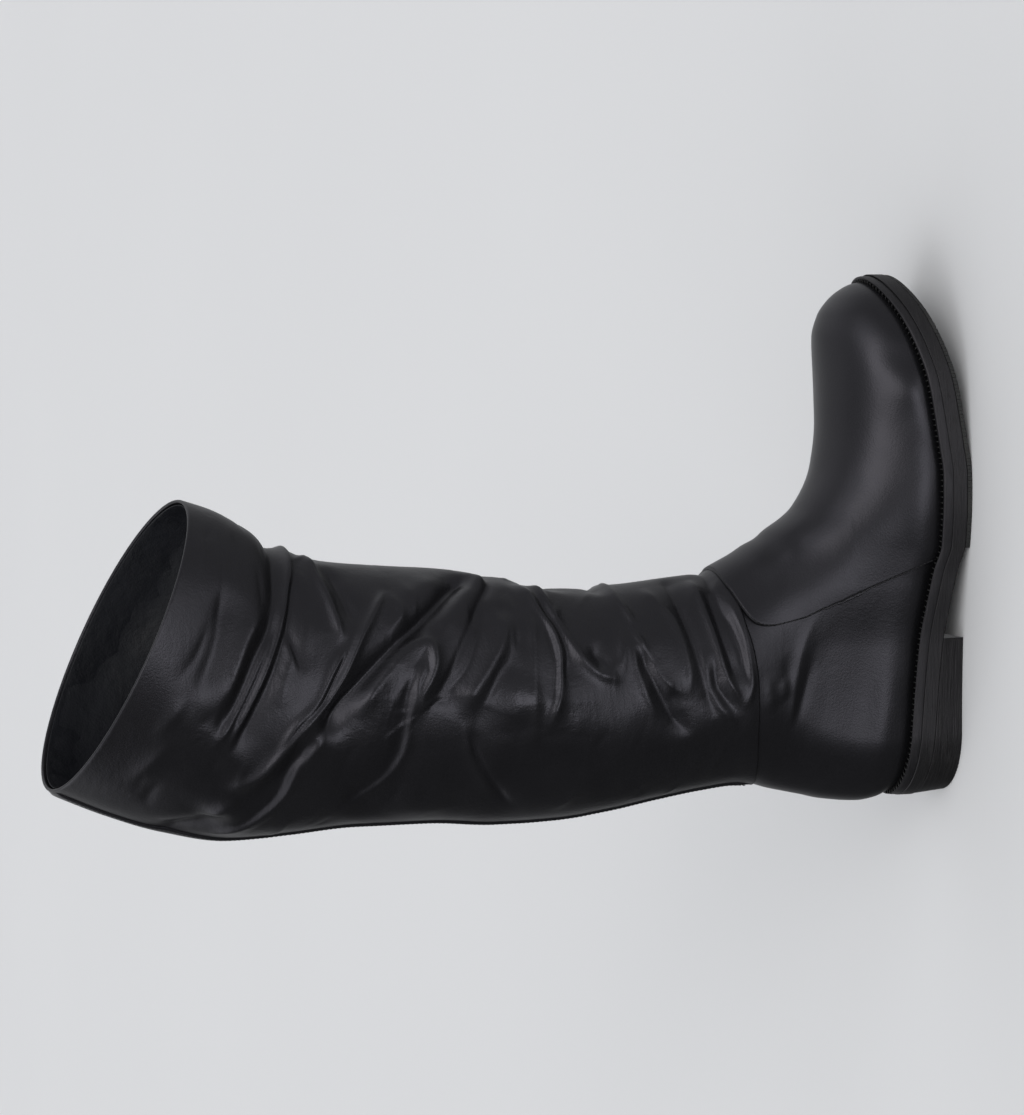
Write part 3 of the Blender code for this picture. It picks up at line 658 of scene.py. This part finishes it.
def shell_faces(fine, coarse):
    """Faces of a closed shell: a fine grid outside and one with a third of its columns inside.

    They are joined in bands of six-cornered faces where the fine grid ends. Both grids are (rows, columns)
    and closed around the leg.
    """
    (rows, columns), (back_rows, back_columns) = fine, coarse
    first = rows * columns
    quads = np.concatenate((grid_faces(rows, columns, close_columns=True),
                            grid_faces(back_rows, back_columns, close_columns=True) + first))
    j = np.arange(back_columns)
    on = (j + 1) % back_columns
    third = [3 * j, 3 * j + 1, 3 * j + 2, (3 * j + 3) % columns]
    top, last = (rows - 1) * columns, first + (back_rows - 1) * back_columns
    upper_band = np.stack([top + t for t in third] + [first + on, first + j], -1)
    lower_band = np.stack([last + j, last + on] + third[::-1], -1)
    return quads.tolist() + upper_band.tolist() + lower_band.tolist()


def leather_finish(name, colour, highlight_and_tone_colour, rough, grain, crease):
    """Black smooth leather: a pebbled grain of about a millimetre with fine creases drawn along the folds.

    The height adds the grain's cells, a finer noise and long wrinkles. Ridges are polished and troughs
    duller. The colour is painted paler on the ridges as a painted highlight and darker in the troughs as
    painted shade, mixed with a slow random change of tone.
    """
    finish, start = new_finish(name)
    place = start.node("ShaderNodeTexCoord", output="Object")
    relief = start.node("ShaderNodeAttribute", {"attribute_name": "relief"}, output="Fac")
    ridge = ramp(start, relief, -3.0, 4.0)
    cells = start.node("ShaderNodeTexVoronoi", {"feature": "SMOOTH_F1"},
                       {"Vector": place, "Scale": 1000.0, "Smoothness": 0.6})
    fine = noise(start, place, 0.6)
    long = noise(start, place, 5.0, stretch=(0.5, 0.5, 1.6), detail=4.0)
    patches = ramp(start, noise(start, place, 34.0, detail=3.0), 0.42, 0.68)
    height = cells * (-grain * MM) + fine * (0.5 * grain * MM) + long * (0.5 * crease * MM)
    height = height + patches * noise(start, place, 2.6, stretch=(1, 1, 0.6), detail=3.0) * (crease * MM)
    tone = noise(start, place, 18.0, detail=4.0)
    # Base colour: a painted highlight makes the ridges paler and painted shade darkens the troughs, mixed with
    # a random change of tone
    base = shade(start, ridge * 0.7 + tone * 0.3, colour, highlight_and_tone_colour)
    gloss = rough + 0.05 - ridge * 0.07 + (tone - 0.5) * 0.12
    cover(start, height, {"Base Color": base, "Roughness": gloss, "Specular IOR Level": 0.44,
                          "Specular Tint": (0.92, 0.89, 1.0, 1.0)})
    return finish


foot_finish = leather_finish("quarter_leather", (0.0050, 0.0050, 0.0056, 1), (0.0090, 0.0090, 0.0098, 1),
                             0.31, 0.04, 0.1)

# Lap of the leg over the foot leather: turn, level
LAP = [
    (0, 126), (40, 125.5), (62, 124), (70, 122.5), (80, 121.2), (90, 120.8), (100, 121.5), (110, 122),
    (120, 122.5), (130, 122), (140, 120.5), (150, 119), (165, 115), (180, 113),
]
LAP_TUCK = 6.0


def lap_level(turn):
    """Level of the leg's lower edge, the same on both sides."""
    return column(LAP, 1)(np.abs((turn + 180) % 360 - 180))


foot_turns = np.concatenate((np.linspace(0, 180, 174, endpoint=False),
                             np.linspace(180, 360, 126, endpoint=False)))
rise = np.linspace(0, 1, 96)[:, None]
foot_levels = SOLE_LEVEL + rise * (lap_level(foot_turns) + LAP_TUCK - SOLE_LEVEL)
under_lap = bell(np.clip(lap_level(foot_turns) + 2 - foot_levels, 0, None), 9.0)
foot_skin, foot_marks = upper_face(foot_turns, foot_levels, -0.75 * under_lap)
foot_back, foot_back_marks = upper_face(foot_turns[::3], foot_levels[::-3, ::3], -LEATHER, behind=1)
foot_leather = add_piece(
    "foot_leather", np.concatenate((foot_skin.reshape(-1, 3), foot_back.reshape(-1, 3))),
    shell_faces(foot_skin.shape[:2], foot_back.shape[:2]), foot_finish, sharp=60,
    marks={"relief": np.concatenate((foot_marks.ravel(), foot_back_marks.ravel()))})
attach(foot_leather, "root")
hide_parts("upper")


# Leg: the tall shaft in the same black leather, slouched into deep folds. It laps over the foot leather at
# the ankle and is turned and closed at the collar, which drops from the calf towards the shin.

RIM_ROLL = 1.9

upper_leather = leather_finish("upper_leather", (0.0050, 0.0050, 0.0056, 1), (0.0095, 0.0095, 0.0102, 1),
                               0.30, 0.05, 0.2)
leg_turns = np.concatenate((np.linspace(0, 180, 174, endpoint=False),
                            np.linspace(180, 360, 84, endpoint=False)))
leg_rise = np.linspace(0, 1, 330)[:, None]
leg_levels = lap_level(leg_turns) + leg_rise * (RIM_LEVEL - lap_level(leg_turns))
over_lap = bell(leg_levels - lap_level(leg_turns), 9.0)
leg_skin, leg_marks = upper_face(leg_turns, leg_levels, 0.3 * over_lap)
rim_back = upper_face(leg_turns, RIM_LEVEL, -RIM_ROLL)[0]
rim_up = unit(leg_skin[-1] - leg_skin[-3])
swing = np.linspace(0, np.pi, 8)[1:, None, None]
rim_bead = (leg_skin[-1] + rim_back) / 2 + (leg_skin[-1] - rim_back) / 2 * np.cos(swing)
rim_bead = rim_bead + rim_up * np.sin(swing) * RIM_ROLL * 0.55
leg_front = np.concatenate((leg_skin, rim_bead))
back_rise = np.linspace(0.992, 0, 104)[:, None]
back_levels = lap_level(leg_turns[::3]) + back_rise * (RIM_LEVEL - lap_level(leg_turns[::3]))
back_depth = LEATHER - 0.75 * bell(back_levels - lap_level(leg_turns[::3]), 9.0)
leg_back, leg_back_marks = upper_face(leg_turns[::3], back_levels, -back_depth, behind=2)
leg_marks = np.concatenate((leg_marks, np.repeat(leg_marks[-1:], len(rim_bead), axis=0)))
leg = add_piece(
    "leg_leather", np.concatenate((leg_front.reshape(-1, 3), leg_back.reshape(-1, 3))),
    shell_faces(leg_front.shape[:2], leg_back.shape[:2]), upper_leather,
    marks={"relief": np.concatenate((leg_marks.ravel(), leg_back_marks.ravel()))})
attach(leg, "root")
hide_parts("upper")


# Lining: dark satin leather 0.7 mm thick, glued inside the leg and foot. Its rolled edge stands just below
# the collar rim, where it shows as a second line.

LINING_DEPTH = 2.3
LINING = 0.7
LINING_DROP = 1.2

lining_turns = leg_turns[::2]
lining_rise = np.linspace(0.012, 1, 190)[:, None]
lining_levels = SOLE_LEVEL + lining_rise * (RIM_LEVEL - LINING_DROP - SOLE_LEVEL)
lining_face = upper_face(lining_turns, lining_levels, -LINING_DEPTH - LINING, behind=2)[0]
lining_rim = lining_face[-1] + unit(lining_face[-1] - lining_face[-1].mean(0)) * LINING
lining_up = unit(lining_face[-1] - lining_face[-2])
lining_bead = (lining_face[-1] + lining_rim) / 2 + (lining_face[-1] - lining_rim) / 2 * np.cos(swing)
lining_bead = lining_bead + lining_up * np.sin(swing) * LINING * 0.9
lining_front = np.concatenate((lining_face, lining_bead))
lining_back = upper_face(lining_turns[::3], lining_levels[-2::-3], -LINING_DEPTH, behind=2)[0]
lining = add_piece(
    "leg_lining", np.concatenate((lining_front.reshape(-1, 3), lining_back.reshape(-1, 3))),
    shell_faces(lining_front.shape[:2], lining_back.shape[:2]), lining_leather)
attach(lining, "root")
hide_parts("upper")


# Vamp: a second layer of the same leather, 1.2 mm thick, over the toe and instep. Its edge climbs from the
# welt over the side of the foot to the front of the ankle and is stitched down close to the cut.

OVERLAY = 1.2
OVERLAY_GAP = 0.4

# Edge of the vamp on either side, from the welt to the front: turn, level
VAMP_EDGE = [
    (94.7, SOLE_LEVEL), (94.5, 40), (95.1, 50), (95.4, 60), (94.6, 67.5), (92, 71), (86, 77), (80, 84.5),
    (77, 90), (75, 95), (73.3, 100), (71.8, 105), (70, 110), (67.5, 114.5), (64.5, 118.2), (60, 121.5),
    (50, 125.5), (40, 127.7), (30, 129.3), (15, 130.1), (0, 130.3),
]


def even_places(places, steps):
    """Places of turn and level along a line, spread evenly by their real length on the smooth upper."""
    fine = np.linspace(0, len(places) - 1, 2000)
    fine = np.stack([glide(fine, np.arange(len(places)), places[:, k]) for k in (0, 1)], -1)
    run = run_length(smooth_upper(fine[:, 0], fine[:, 1]))
    at = np.linspace(0, run[-1], steps)
    return np.stack([np.interp(at, run, fine[:, k]) for k in (0, 1)], -1)


def vamp_places(steps, near_edge, shares):
    """Grid of turn and level over the vamp, and the distance from its edge.

    Straight lines in turn and level lead from each place of the edge to one on the sole line round the toe.
    They start with the distances near_edge in millimetres and go on in even shares of what is left.
    """
    outer = np.array(VAMP_EDGE, float)
    inner = outer[-2::-1] * (-1, 1)
    top = even_places(np.concatenate((outer, inner)), steps)
    swing_round = np.linspace(outer[0, 0], -outer[0, 0], 60)
    foot = even_places(np.stack((swing_round, np.full(60, SOLE_LEVEL)), -1), steps)
    across = np.linspace(0, 1, 24)[:, None, None]
    lines = top * (1 - across) + foot * across
    length = np.linalg.norm(np.diff(smooth_upper(lines[..., 0], lines[..., 1]), axis=0), axis=-1).sum(0)
    start = near_edge[:, None] / np.maximum(length, 3 * near_edge[-1])
    rest = start[-1] + (1 - start[-1]) * shares[1:, None]
    share = np.concatenate((start, rest))[..., None]
    places = top * (1 - share) + foot * share
    return places[..., 0], places[..., 1], share[..., 0] * length


near_edge = np.array([0.0, 0.12, 0.35, 0.7, 1.1, 1.4, 1.7, 2.1, 2.8])
vamp_turn, vamp_level, vamp_in = vamp_places(381, near_edge, np.linspace(0, 1, 92))
taper = round_end(np.minimum(np.arange(381), 380 - np.arange(381)) / 6)
vamp_lift = OVERLAY * round_end(vamp_in / 0.8) - 0.28 * bell(vamp_in - 1.4, 0.4)
vamp_skin, vamp_marks = upper_face(vamp_turn, vamp_level, OVERLAY_GAP + vamp_lift * taper)
back_turn, back_level, _ = vamp_places(381, near_edge[:1], np.linspace(0, 1, 36))
vamp_back, vamp_back_marks = upper_face(back_turn[::-1], back_level[::-1], OVERLAY_GAP)
vamp_rows = np.concatenate((vamp_skin, vamp_back))
vamp_leather = leather_finish("vamp_leather", (0.0055, 0.0055, 0.0062, 1), (0.0090, 0.0090, 0.0098, 1),
                              0.31, 0.035, 0.06)
vamp = add_piece("vamp_overlay", vamp_rows, grid_faces(*vamp_rows.shape[:2], close_rows=True), vamp_leather,
                 sharp=70, marks={"relief": np.concatenate((vamp_marks, vamp_back_marks))})
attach(vamp, "root")
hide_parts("vamp")


# Vamp stitching: one row of fine black thread, 1.4 mm inside the vamp's edge, sunk in the groove that it
# pulls into the leather.

THREAD_COLOUR = (0.006, 0.006, 0.0065, 1.0)


def thread_finish(name):
    """Waxed black thread with a fine twist."""
    finish, start = new_finish(name)
    place = start.node("ShaderNodeTexCoord", output="Object")
    twist = noise(start, place, 0.35)
    colour = shade(start, twist, THREAD_COLOUR, (0.016, 0.0155, 0.015, 1.0))
    cover(start, twist * (0.12 * MM), {"Base Color": colour, "Roughness": 0.5})
    return finish


def stitches(starts, ends, outwards, radius, rise):
    """Points and faces of stitches, each a bowed six-sided tube from its start to its end.

    The middle line is straight between the two, lifted outwards by rise times the sine of half a turn, and
    the tube narrows at both ends.
    """
    share = np.array([0.0, 0.12, 0.5, 0.88, 1.0])
    thick = np.array([0.35, 0.9, 1.0, 0.9, 0.35]) * radius
    way = unit(ends - starts)
    up = unit(outwards - way * (outwards * way).sum(-1, keepdims=True))
    side = np.cross(way, up)
    line = starts[:, None] + (ends - starts)[:, None] * share[:, None]
    line = line + up[:, None] * (np.sin(np.pi * share) * rise)[:, None]
    round_about = np.arange(6) * np.pi / 3
    ring = up[:, None, None] * np.cos(round_about)[:, None]
    ring = ring + side[:, None, None] * np.sin(round_about)[:, None]
    points = line[:, :, None] + ring * thick[:, None, None]
    one = grid_faces(5, 6, close_columns=True)
    first = np.arange(len(starts)) * 30
    tubes = (one + first[:, None, None]).reshape(-1, 4)
    caps = np.concatenate((np.arange(6)[::-1] + first[:, None], np.arange(24, 30) + first[:, None]))
    return points.reshape(-1, 3), tubes.tolist() + caps.tolist()


def stitch_row(line, outwards, pitch, length, radius, rise):
    """Stitches of a length at every pitch along a line of points, standing on its outward direction."""
    run = run_length(line)
    at = np.arange(pitch, run[-1] - pitch, pitch)
    up = np.stack([np.interp(at, run, outwards[:, k]) for k in range(3)], -1)
    starts, ends = along_line(line, at - length / 2), along_line(line, at + length / 2)
    return stitches(starts, ends, unit(up), radius, rise)


thread = thread_finish("black_thread")
seam_line = vamp_skin[5]
seam_up = unit(np.cross(np.gradient(vamp_skin, axis=0)[5], np.gradient(seam_line, axis=0)))
seam_up = seam_up * np.sign((seam_up * (seam_line - vamp_back[-1])).sum(-1, keepdims=True))
vamp_thread = add_piece("vamp_stitches", *stitch_row(seam_line, seam_up, 2.5, 1.9, 0.24, 0.12), thread)
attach(vamp_thread, "root")
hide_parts("vamp")


# Back strip: a 15 mm strip of the leg's leather over the seam at the back, from the collar to the lap at the
# ankle, with a row of stitches along each edge.

STRIP_HALF = 7.5
STRIP_SEAM = 1.8
STRIP_GAP = 0.15


def strip_face(aside, level, offset):
    """Face of the leg at a distance to either side of its middle at the back, moved outwards by an offset.

    The turn comes from the quarter circle that closes the section at the back.
    """
    row = np.interp(level, LEVELS, np.arange(len(LEVELS)))
    knots = np.arange(len(SECTIONS))
    back, front, back_round, side = (glide(row, knots, SECTIONS[:, i]) for i in (0, 2, 4, 5))
    into = back_round * (1 - np.sqrt(1 - (aside / side) ** 2))
    turn = 180 + np.sign(aside) * np.degrees(np.arccos(1 - 2 * into / (front - back)))
    return upper_face(turn, level, offset)


strip_aside = np.concatenate((
    np.linspace(-STRIP_HALF, -STRIP_HALF + 1, 6), np.linspace(-STRIP_HALF + 1.4, 0, 9),
    np.linspace(0, STRIP_HALF - 1.4, 9)[1:], np.linspace(STRIP_HALF - 1, STRIP_HALF, 6)))
strip_levels = np.linspace(113.6, RIM_LEVEL - 0.4, 240)[:, None]
strip_in = STRIP_HALF - np.abs(strip_aside)
strip_lift = OVERLAY * round_end(strip_in / 1.6) - 0.25 * bell(strip_in - STRIP_SEAM, 0.4)
strip_ends = np.minimum(np.arange(240) / 9, round_end((239 - np.arange(240)) / 2))[:, None].clip(0, 1)
strip_skin, strip_marks = strip_face(strip_aside, strip_levels, STRIP_GAP + strip_lift * strip_ends)
strip_back, strip_back_marks = strip_face(strip_aside[::-1], strip_levels, STRIP_GAP)
strip_points = np.concatenate((strip_skin, strip_back), axis=1)
strip = add_piece(
    "back_strip_leather", strip_points, grid_faces(*strip_points.shape[:2], close_columns=True),
    upper_leather, sharp=70, marks={"relief": np.concatenate((strip_marks, strip_back_marks), axis=1)})
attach(strip, "root")
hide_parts("back_strip")

strip_rows = []
for aside in (STRIP_SEAM - STRIP_HALF, STRIP_HALF - STRIP_SEAM):
    seam_levels = np.linspace(118, RIM_LEVEL - 4, 300)
    seam_line = strip_face(np.full(300, aside), seam_levels, STRIP_GAP + OVERLAY - 0.25)[0]
    seam_up = unit(seam_line - strip_face(np.full(300, aside), seam_levels, 0.0)[0])
    strip_rows.append(stitch_row(seam_line, seam_up, 2.5, 1.9, 0.24, 0.12))
strip_points = np.concatenate([points for points, _ in strip_rows])
strip_faces = strip_rows[0][1] + [[i + len(strip_rows[0][0]) for i in face] for face in strip_rows[1][1]]
strip_thread = add_piece("back_strip_stitches", strip_points, strip_faces, thread)
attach(strip_thread, "root")
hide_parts("back_strip")


# Welt: a black strip of sole leather 5.5 mm high all round the upper, glued on the outsole. A groove is left
# between it and the leather, its side runs down flush with the outsole, and thread crosses the groove to hold
# the upper.

WELT_GROOVE = 2.4
WELT_STEPS = 720

# Cross section: share of the way from the groove to the welt's reach, further outwards, height on the outsole
WELT_SECTION = np.array([
    (0, 0, 0.1), (1, -0.3, 0.05), (1, 0, -0.2), (1, 0.06, 0.4), (1, 0.14, 1.4), (1, 0.16, 2.4), (1, 0.1, 3.4),
    (1, -0.02, 4.3), (1, -0.18, 4.9), (1, -0.42, 5.3), (0.82, -0.1, 5.5), (0.5, 0, 5.55), (0.2, 0, 5.5),
    (0.05, 0.02, 5.3), (0, 0, 4.9), (0, 0, 4.0), (0, 0, 2.2),
])


def sole_edge_finish(name, colour, pale, rough, streak):
    """Inked and waxed sole edge: streaks that run round the shoe level with the ground, and dull scuffs."""
    finish, start = new_finish(name)
    place = start.node("ShaderNodeTexCoord", output="Object")
    streaks = noise(start, place, 14.0, stretch=(1, 1, 16), detail=5.0)
    grit = noise(start, place, 1.1, detail=3.0)
    scuff = ramp(start, noise(start, place, 9.0, stretch=(1, 1, 2.5), detail=6.0), 0.52, 0.72)
    height = streaks * (streak * MM) + grit * (0.07 * MM)
    base = shade(start, ramp(start, streaks, 0.35, 0.7) * 0.6 + scuff * 0.4, colour, pale)
    cover(start, height, {"Base Color": base, "Roughness": rough + scuff * 0.14 + (grit - 0.5) * 0.1,
                          "Specular IOR Level": 0.4, "Specular Tint": (0.97, 0.93, 1.0, 1)})
    return finish


welt_leather = sole_edge_finish("welt_leather", (0.0062, 0.0062, 0.0068, 1), (0.013, 0.0128, 0.0132, 1),
                                0.45, 0.1)
welt_edge, welt_out = footprint_loop(WELT_STEPS)
welt_span = welt_reach(welt_edge[:, 0]) - WELT_GROOVE
welt_at = WELT_GROOVE + WELT_SECTION[:, :1] * welt_span + WELT_SECTION[:, 1:2]
welt_xy = welt_edge + welt_out * welt_at[..., None]
welt_z = sole_top(welt_xy[..., 0]) + WELT_SECTION[:, 2:]
welt_points = np.concatenate((welt_xy, welt_z[..., None]), axis=-1)
welt_faces = grid_faces(*welt_points.shape[:2], close_rows=True, close_columns=True)
welt = add_piece("welt_strip", welt_points, welt_faces, welt_leather)
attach(welt, "root")
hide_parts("welt")

welt_round = run_length(np.concatenate((welt_edge, welt_edge[:1])))[-1]
stitch_edge, stitch_out = footprint_loop(int(welt_round / 3.0))
stitch_from = stitch_edge + stitch_out * (WELT_GROOVE + 0.5)
stitch_to = stitch_edge - stitch_out * 0.6
stitch_from = np.column_stack((stitch_from, sole_top(stitch_from[:, 0]) + 5.4))
stitch_to = np.column_stack((stitch_to, sole_top(stitch_to[:, 0]) + 5.2))
stitch_up = np.tile((0.0, 0.0, 1.0), (len(stitch_from), 1))
welt_thread = add_piece("welt_stitches", *stitches(stitch_from, stitch_to, stitch_up, 0.45, 0.3), thread)
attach(welt_thread, "root")
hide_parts("welt")


# Outsole: 8 mm of hard black sole, bent from the heel over the waist to the toe spring. It is cemented under
# the welt, and its corners are a little rounded.

EDGE_ROUND = 0.2


def side_profile(steps, thickness, low, inset, lines):
    """Profile up the side of a sole layer as pairs of reach and height.

    The reach is the outsole's less an inset of the share of the way up, less the rounding of both corners,
    less a fine groove at each line.
    """
    pairs = []
    for share in np.linspace(0, 1, steps):
        groove = sum(0.06 * bell(share - line, 0.03) for line in lines)

        def reach(x, share=share, groove=groove):
            corner = np.minimum(share, 1 - share) * thickness(x) / EDGE_ROUND
            return outsole_reach(x) - inset(share) - EDGE_ROUND * (1 - round_end(corner)) - groove

        def height(x, share=share):
            return low(x) + share * thickness(x)

        pairs.append((reach, height))
    return pairs


outsole_rubber = sole_edge_finish("outsole_edge", (0.0065, 0.0065, 0.0065, 1), (0.014, 0.0138, 0.0135, 1),
                                  0.5, 0.2)
outsole_profile = side_profile(34, level_reach(OUTSOLE), sole_rise, lambda share: 0.0, ())
outsole_rings = sole_layer(outsole_profile)
outsole = add_piece("outsole_body", outsole_rings, grid_faces(*outsole_rings.shape[:2], close_columns=True),
                    outsole_rubber, sharp=60)
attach(outsole, "root")
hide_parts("outsole")


# Forefoot tread: a 2.8 mm half sole of black rubber under the ball and toe, cemented on and ending behind
# the ball in a straight step. Fine ribs run across its underside.

TREAD = 2.8
TREAD_BACK = 139.0
LAYER_STEP = 0.3


def ribbed_finish(name):
    """Dull black rubber with ribs across it every 4 mm, worn smooth in patches."""
    finish, start = new_finish(name)
    place = start.node("ShaderNodeTexCoord", output="Object")
    along = start.node("ShaderNodeSeparateXYZ", None, {"Vector": place}, output="X")
    rib = start.node("ShaderNodeMath", {"operation": "SINE"}, {0: along * (2 * np.pi / (4 * MM))})
    wear = ramp(start, noise(start, place, 16.0, detail=4.0), 0.4, 0.65)
    grit = noise(start, place, 0.9)
    height = ramp(start, rib, -0.3, 0.3) * (1 - wear * 0.6) * (0.5 * MM) + grit * (0.08 * MM)
    base = shade(start, wear, (0.011, 0.011, 0.011, 1), (0.024, 0.0235, 0.0225, 1))
    cover(start, height, {"Base Color": base, "Roughness": 0.6 + wear * 0.15})
    return finish


tread_rubber = ribbed_finish("tread_rubber")
tread_profile = side_profile(14, level_reach(TREAD - LAYER_GAP), lambda x: sole_rise(x) - TREAD,
                             lambda share: LAYER_STEP, ())
tread_rings = sole_layer(tread_profile, back=TREAD_BACK)
tread = add_piece("forefoot_half_sole", tread_rings, grid_faces(*tread_rings.shape[:2], close_columns=True),
                  tread_rubber, sharp=50)
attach(tread, "root")
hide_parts("forefoot_tread")


# Heel: a low stacked block of inked leather lifts with a rubber top piece, 12 mm high at the breast and 19 mm
# at the back. It tapers a little to the ground and shows a fine line between its lifts.

HEEL_LENGTH = 89.5
HEEL_TAPER = 2.2

heel_stack = sole_edge_finish("heel_stack", (0.0062, 0.0061, 0.006, 1), (0.015, 0.0147, 0.0143, 1),
                              0.5, 0.35)
heel_profile = side_profile(60, lambda x: sole_rise(x) - LAYER_GAP, np.zeros_like,
                            lambda share: HEEL_TAPER + (LAYER_STEP - HEEL_TAPER) * share, (0.36,))
heel_rings = sole_layer(heel_profile, front=HEEL_LENGTH)
heel = add_piece("heel_block", heel_rings, grid_faces(*heel_rings.shape[:2], close_columns=True), heel_stack,
                 sharp=50)
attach(heel, "root")
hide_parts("heel")


# Studio: a pale seamless floor, soft light from above the outer side with weaker panels round it, and the
# camera beside the outer side of the boot, rolled so that the toe points up in the picture.

FLOOR_SIZE = 60.0
CAMERA_PLACE = np.array((0.212, -2.099, 0.894))
CAMERA_AIM = np.array((0.094, 0.0, 0.248))
CAMERA_ROLL = -0.6
CAMERA_LENS = 132.0

floor_finish, start = new_finish("pale_floor")
floor_place = start.node("ShaderNodeTexCoord", output="Object")
floor_tone = noise(start, floor_place, 700.0)
floor_colour = shade(start, floor_tone, (0.76, 0.76, 0.765, 1), (0.79, 0.79, 0.795, 1))
cover(start, noise(start, floor_place, 3.0) * (0.05 * MM), {"Base Color": floor_colour, "Roughness": 0.9})
floor_mesh = bpy.data.meshes.new("floor")
floor_corners = np.array([(-1, -1, 0), (1, -1, 0), (1, 1, 0), (-1, 1, 0)]) * FLOOR_SIZE - (0, 0, 0.0002)
floor_mesh.from_pydata(floor_corners.tolist(), [], [(0, 1, 2, 3)])
floor_mesh.materials.append(floor_finish)
floor = bpy.data.objects.new("floor", floor_mesh)
bpy.context.scene.collection.objects.link(floor)
floor.visible_glossy = False

key = bpy.data.lights.new("key", "SUN")
key.energy = 0.62
key.angle = np.radians(36)
key.color = (1.0, 0.99, 0.975)
key_lamp = bpy.data.objects.new("key", key)
towards = unit(np.array((0.2, -0.8, 0.56)))
sideways = unit(np.cross((0, 0, 1), towards))
lamp_axes = np.column_stack((sideways, np.cross(towards, sideways), towards))
key_lamp.matrix_world = Matrix(lamp_axes.tolist()).to_4x4()
bpy.context.scene.collection.objects.link(key_lamp)

world = bpy.data.worlds.new("studio")
world.use_nodes = True
world.node_tree.nodes.clear()
start = Socket(world.node_tree)
way = start.node("ShaderNodeTexCoord", output="Generated")


def soft_panel(direction, narrow, wide, strength):
    """Glow of a soft light panel in a direction, full within one angle in degrees and gone beyond another."""
    facing = start.node("ShaderNodeVectorMath", {"operation": "DOT_PRODUCT"},
                        {0: way, 1: tuple(unit(np.array(direction)))}, output="Value")
    return ramp(start, facing, np.cos(np.radians(wide)), np.cos(np.radians(narrow)), 0.0, strength)


glow = 0.04 + soft_panel((0.85, -0.45, 0.25), 50, 105, 0.36) + soft_panel((0.1, 1.0, 0.5), 30, 85, 0.45)
glow = glow + soft_panel((0.02, -0.97, -0.25), 0, 16, 3.0) + soft_panel((0.2, -0.7, 0.7), 15, 45, 0.15)
glow = glow + soft_panel((-0.75, -0.6, 0.1), 30, 90, 0.06) + soft_panel((-0.7, 0.1, 0.7), 12, 42, 1.2)
glow = glow + soft_panel((-0.55, -0.55, 0.65), 10, 30, 0.9) + soft_panel((0.56, -0.56, 0.62), 10, 28, 0.8)
glow = glow + soft_panel((0.25, -0.8, -0.55), 6, 18, 0.9)
sky = start.node("ShaderNodeBackground", None, {"Color": (0.96, 0.975, 1.0, 1.0), "Strength": glow})
start.node("ShaderNodeOutputWorld", None, {"Surface": sky})
bpy.context.scene.world = world
bpy.context.scene.view_settings.view_transform = "Standard"

lens = bpy.data.cameras.new("camera")
lens.sensor_width = 36.0
lens.lens = CAMERA_LENS
lens.clip_end = 200.0
camera = bpy.data.objects.new("camera", lens)
back_to_camera = unit(CAMERA_PLACE - CAMERA_AIM)
sole_way = unit(np.cross((1.0, 0, 0), back_to_camera))
toe_way = np.cross(back_to_camera, sole_way)
tilt_cos, tilt_sin = np.cos(np.radians(CAMERA_ROLL)), np.sin(np.radians(CAMERA_ROLL))
picture_right = tilt_cos * sole_way + tilt_sin * toe_way
picture_up = tilt_cos * toe_way - tilt_sin * sole_way
turned = Matrix(np.column_stack((picture_right, picture_up, back_to_camera)).tolist()).to_4x4()
turned.translation = CAMERA_PLACE
camera.matrix_world = turned
bpy.context.scene.collection.objects.link(camera)
bpy.context.scene.camera = camera
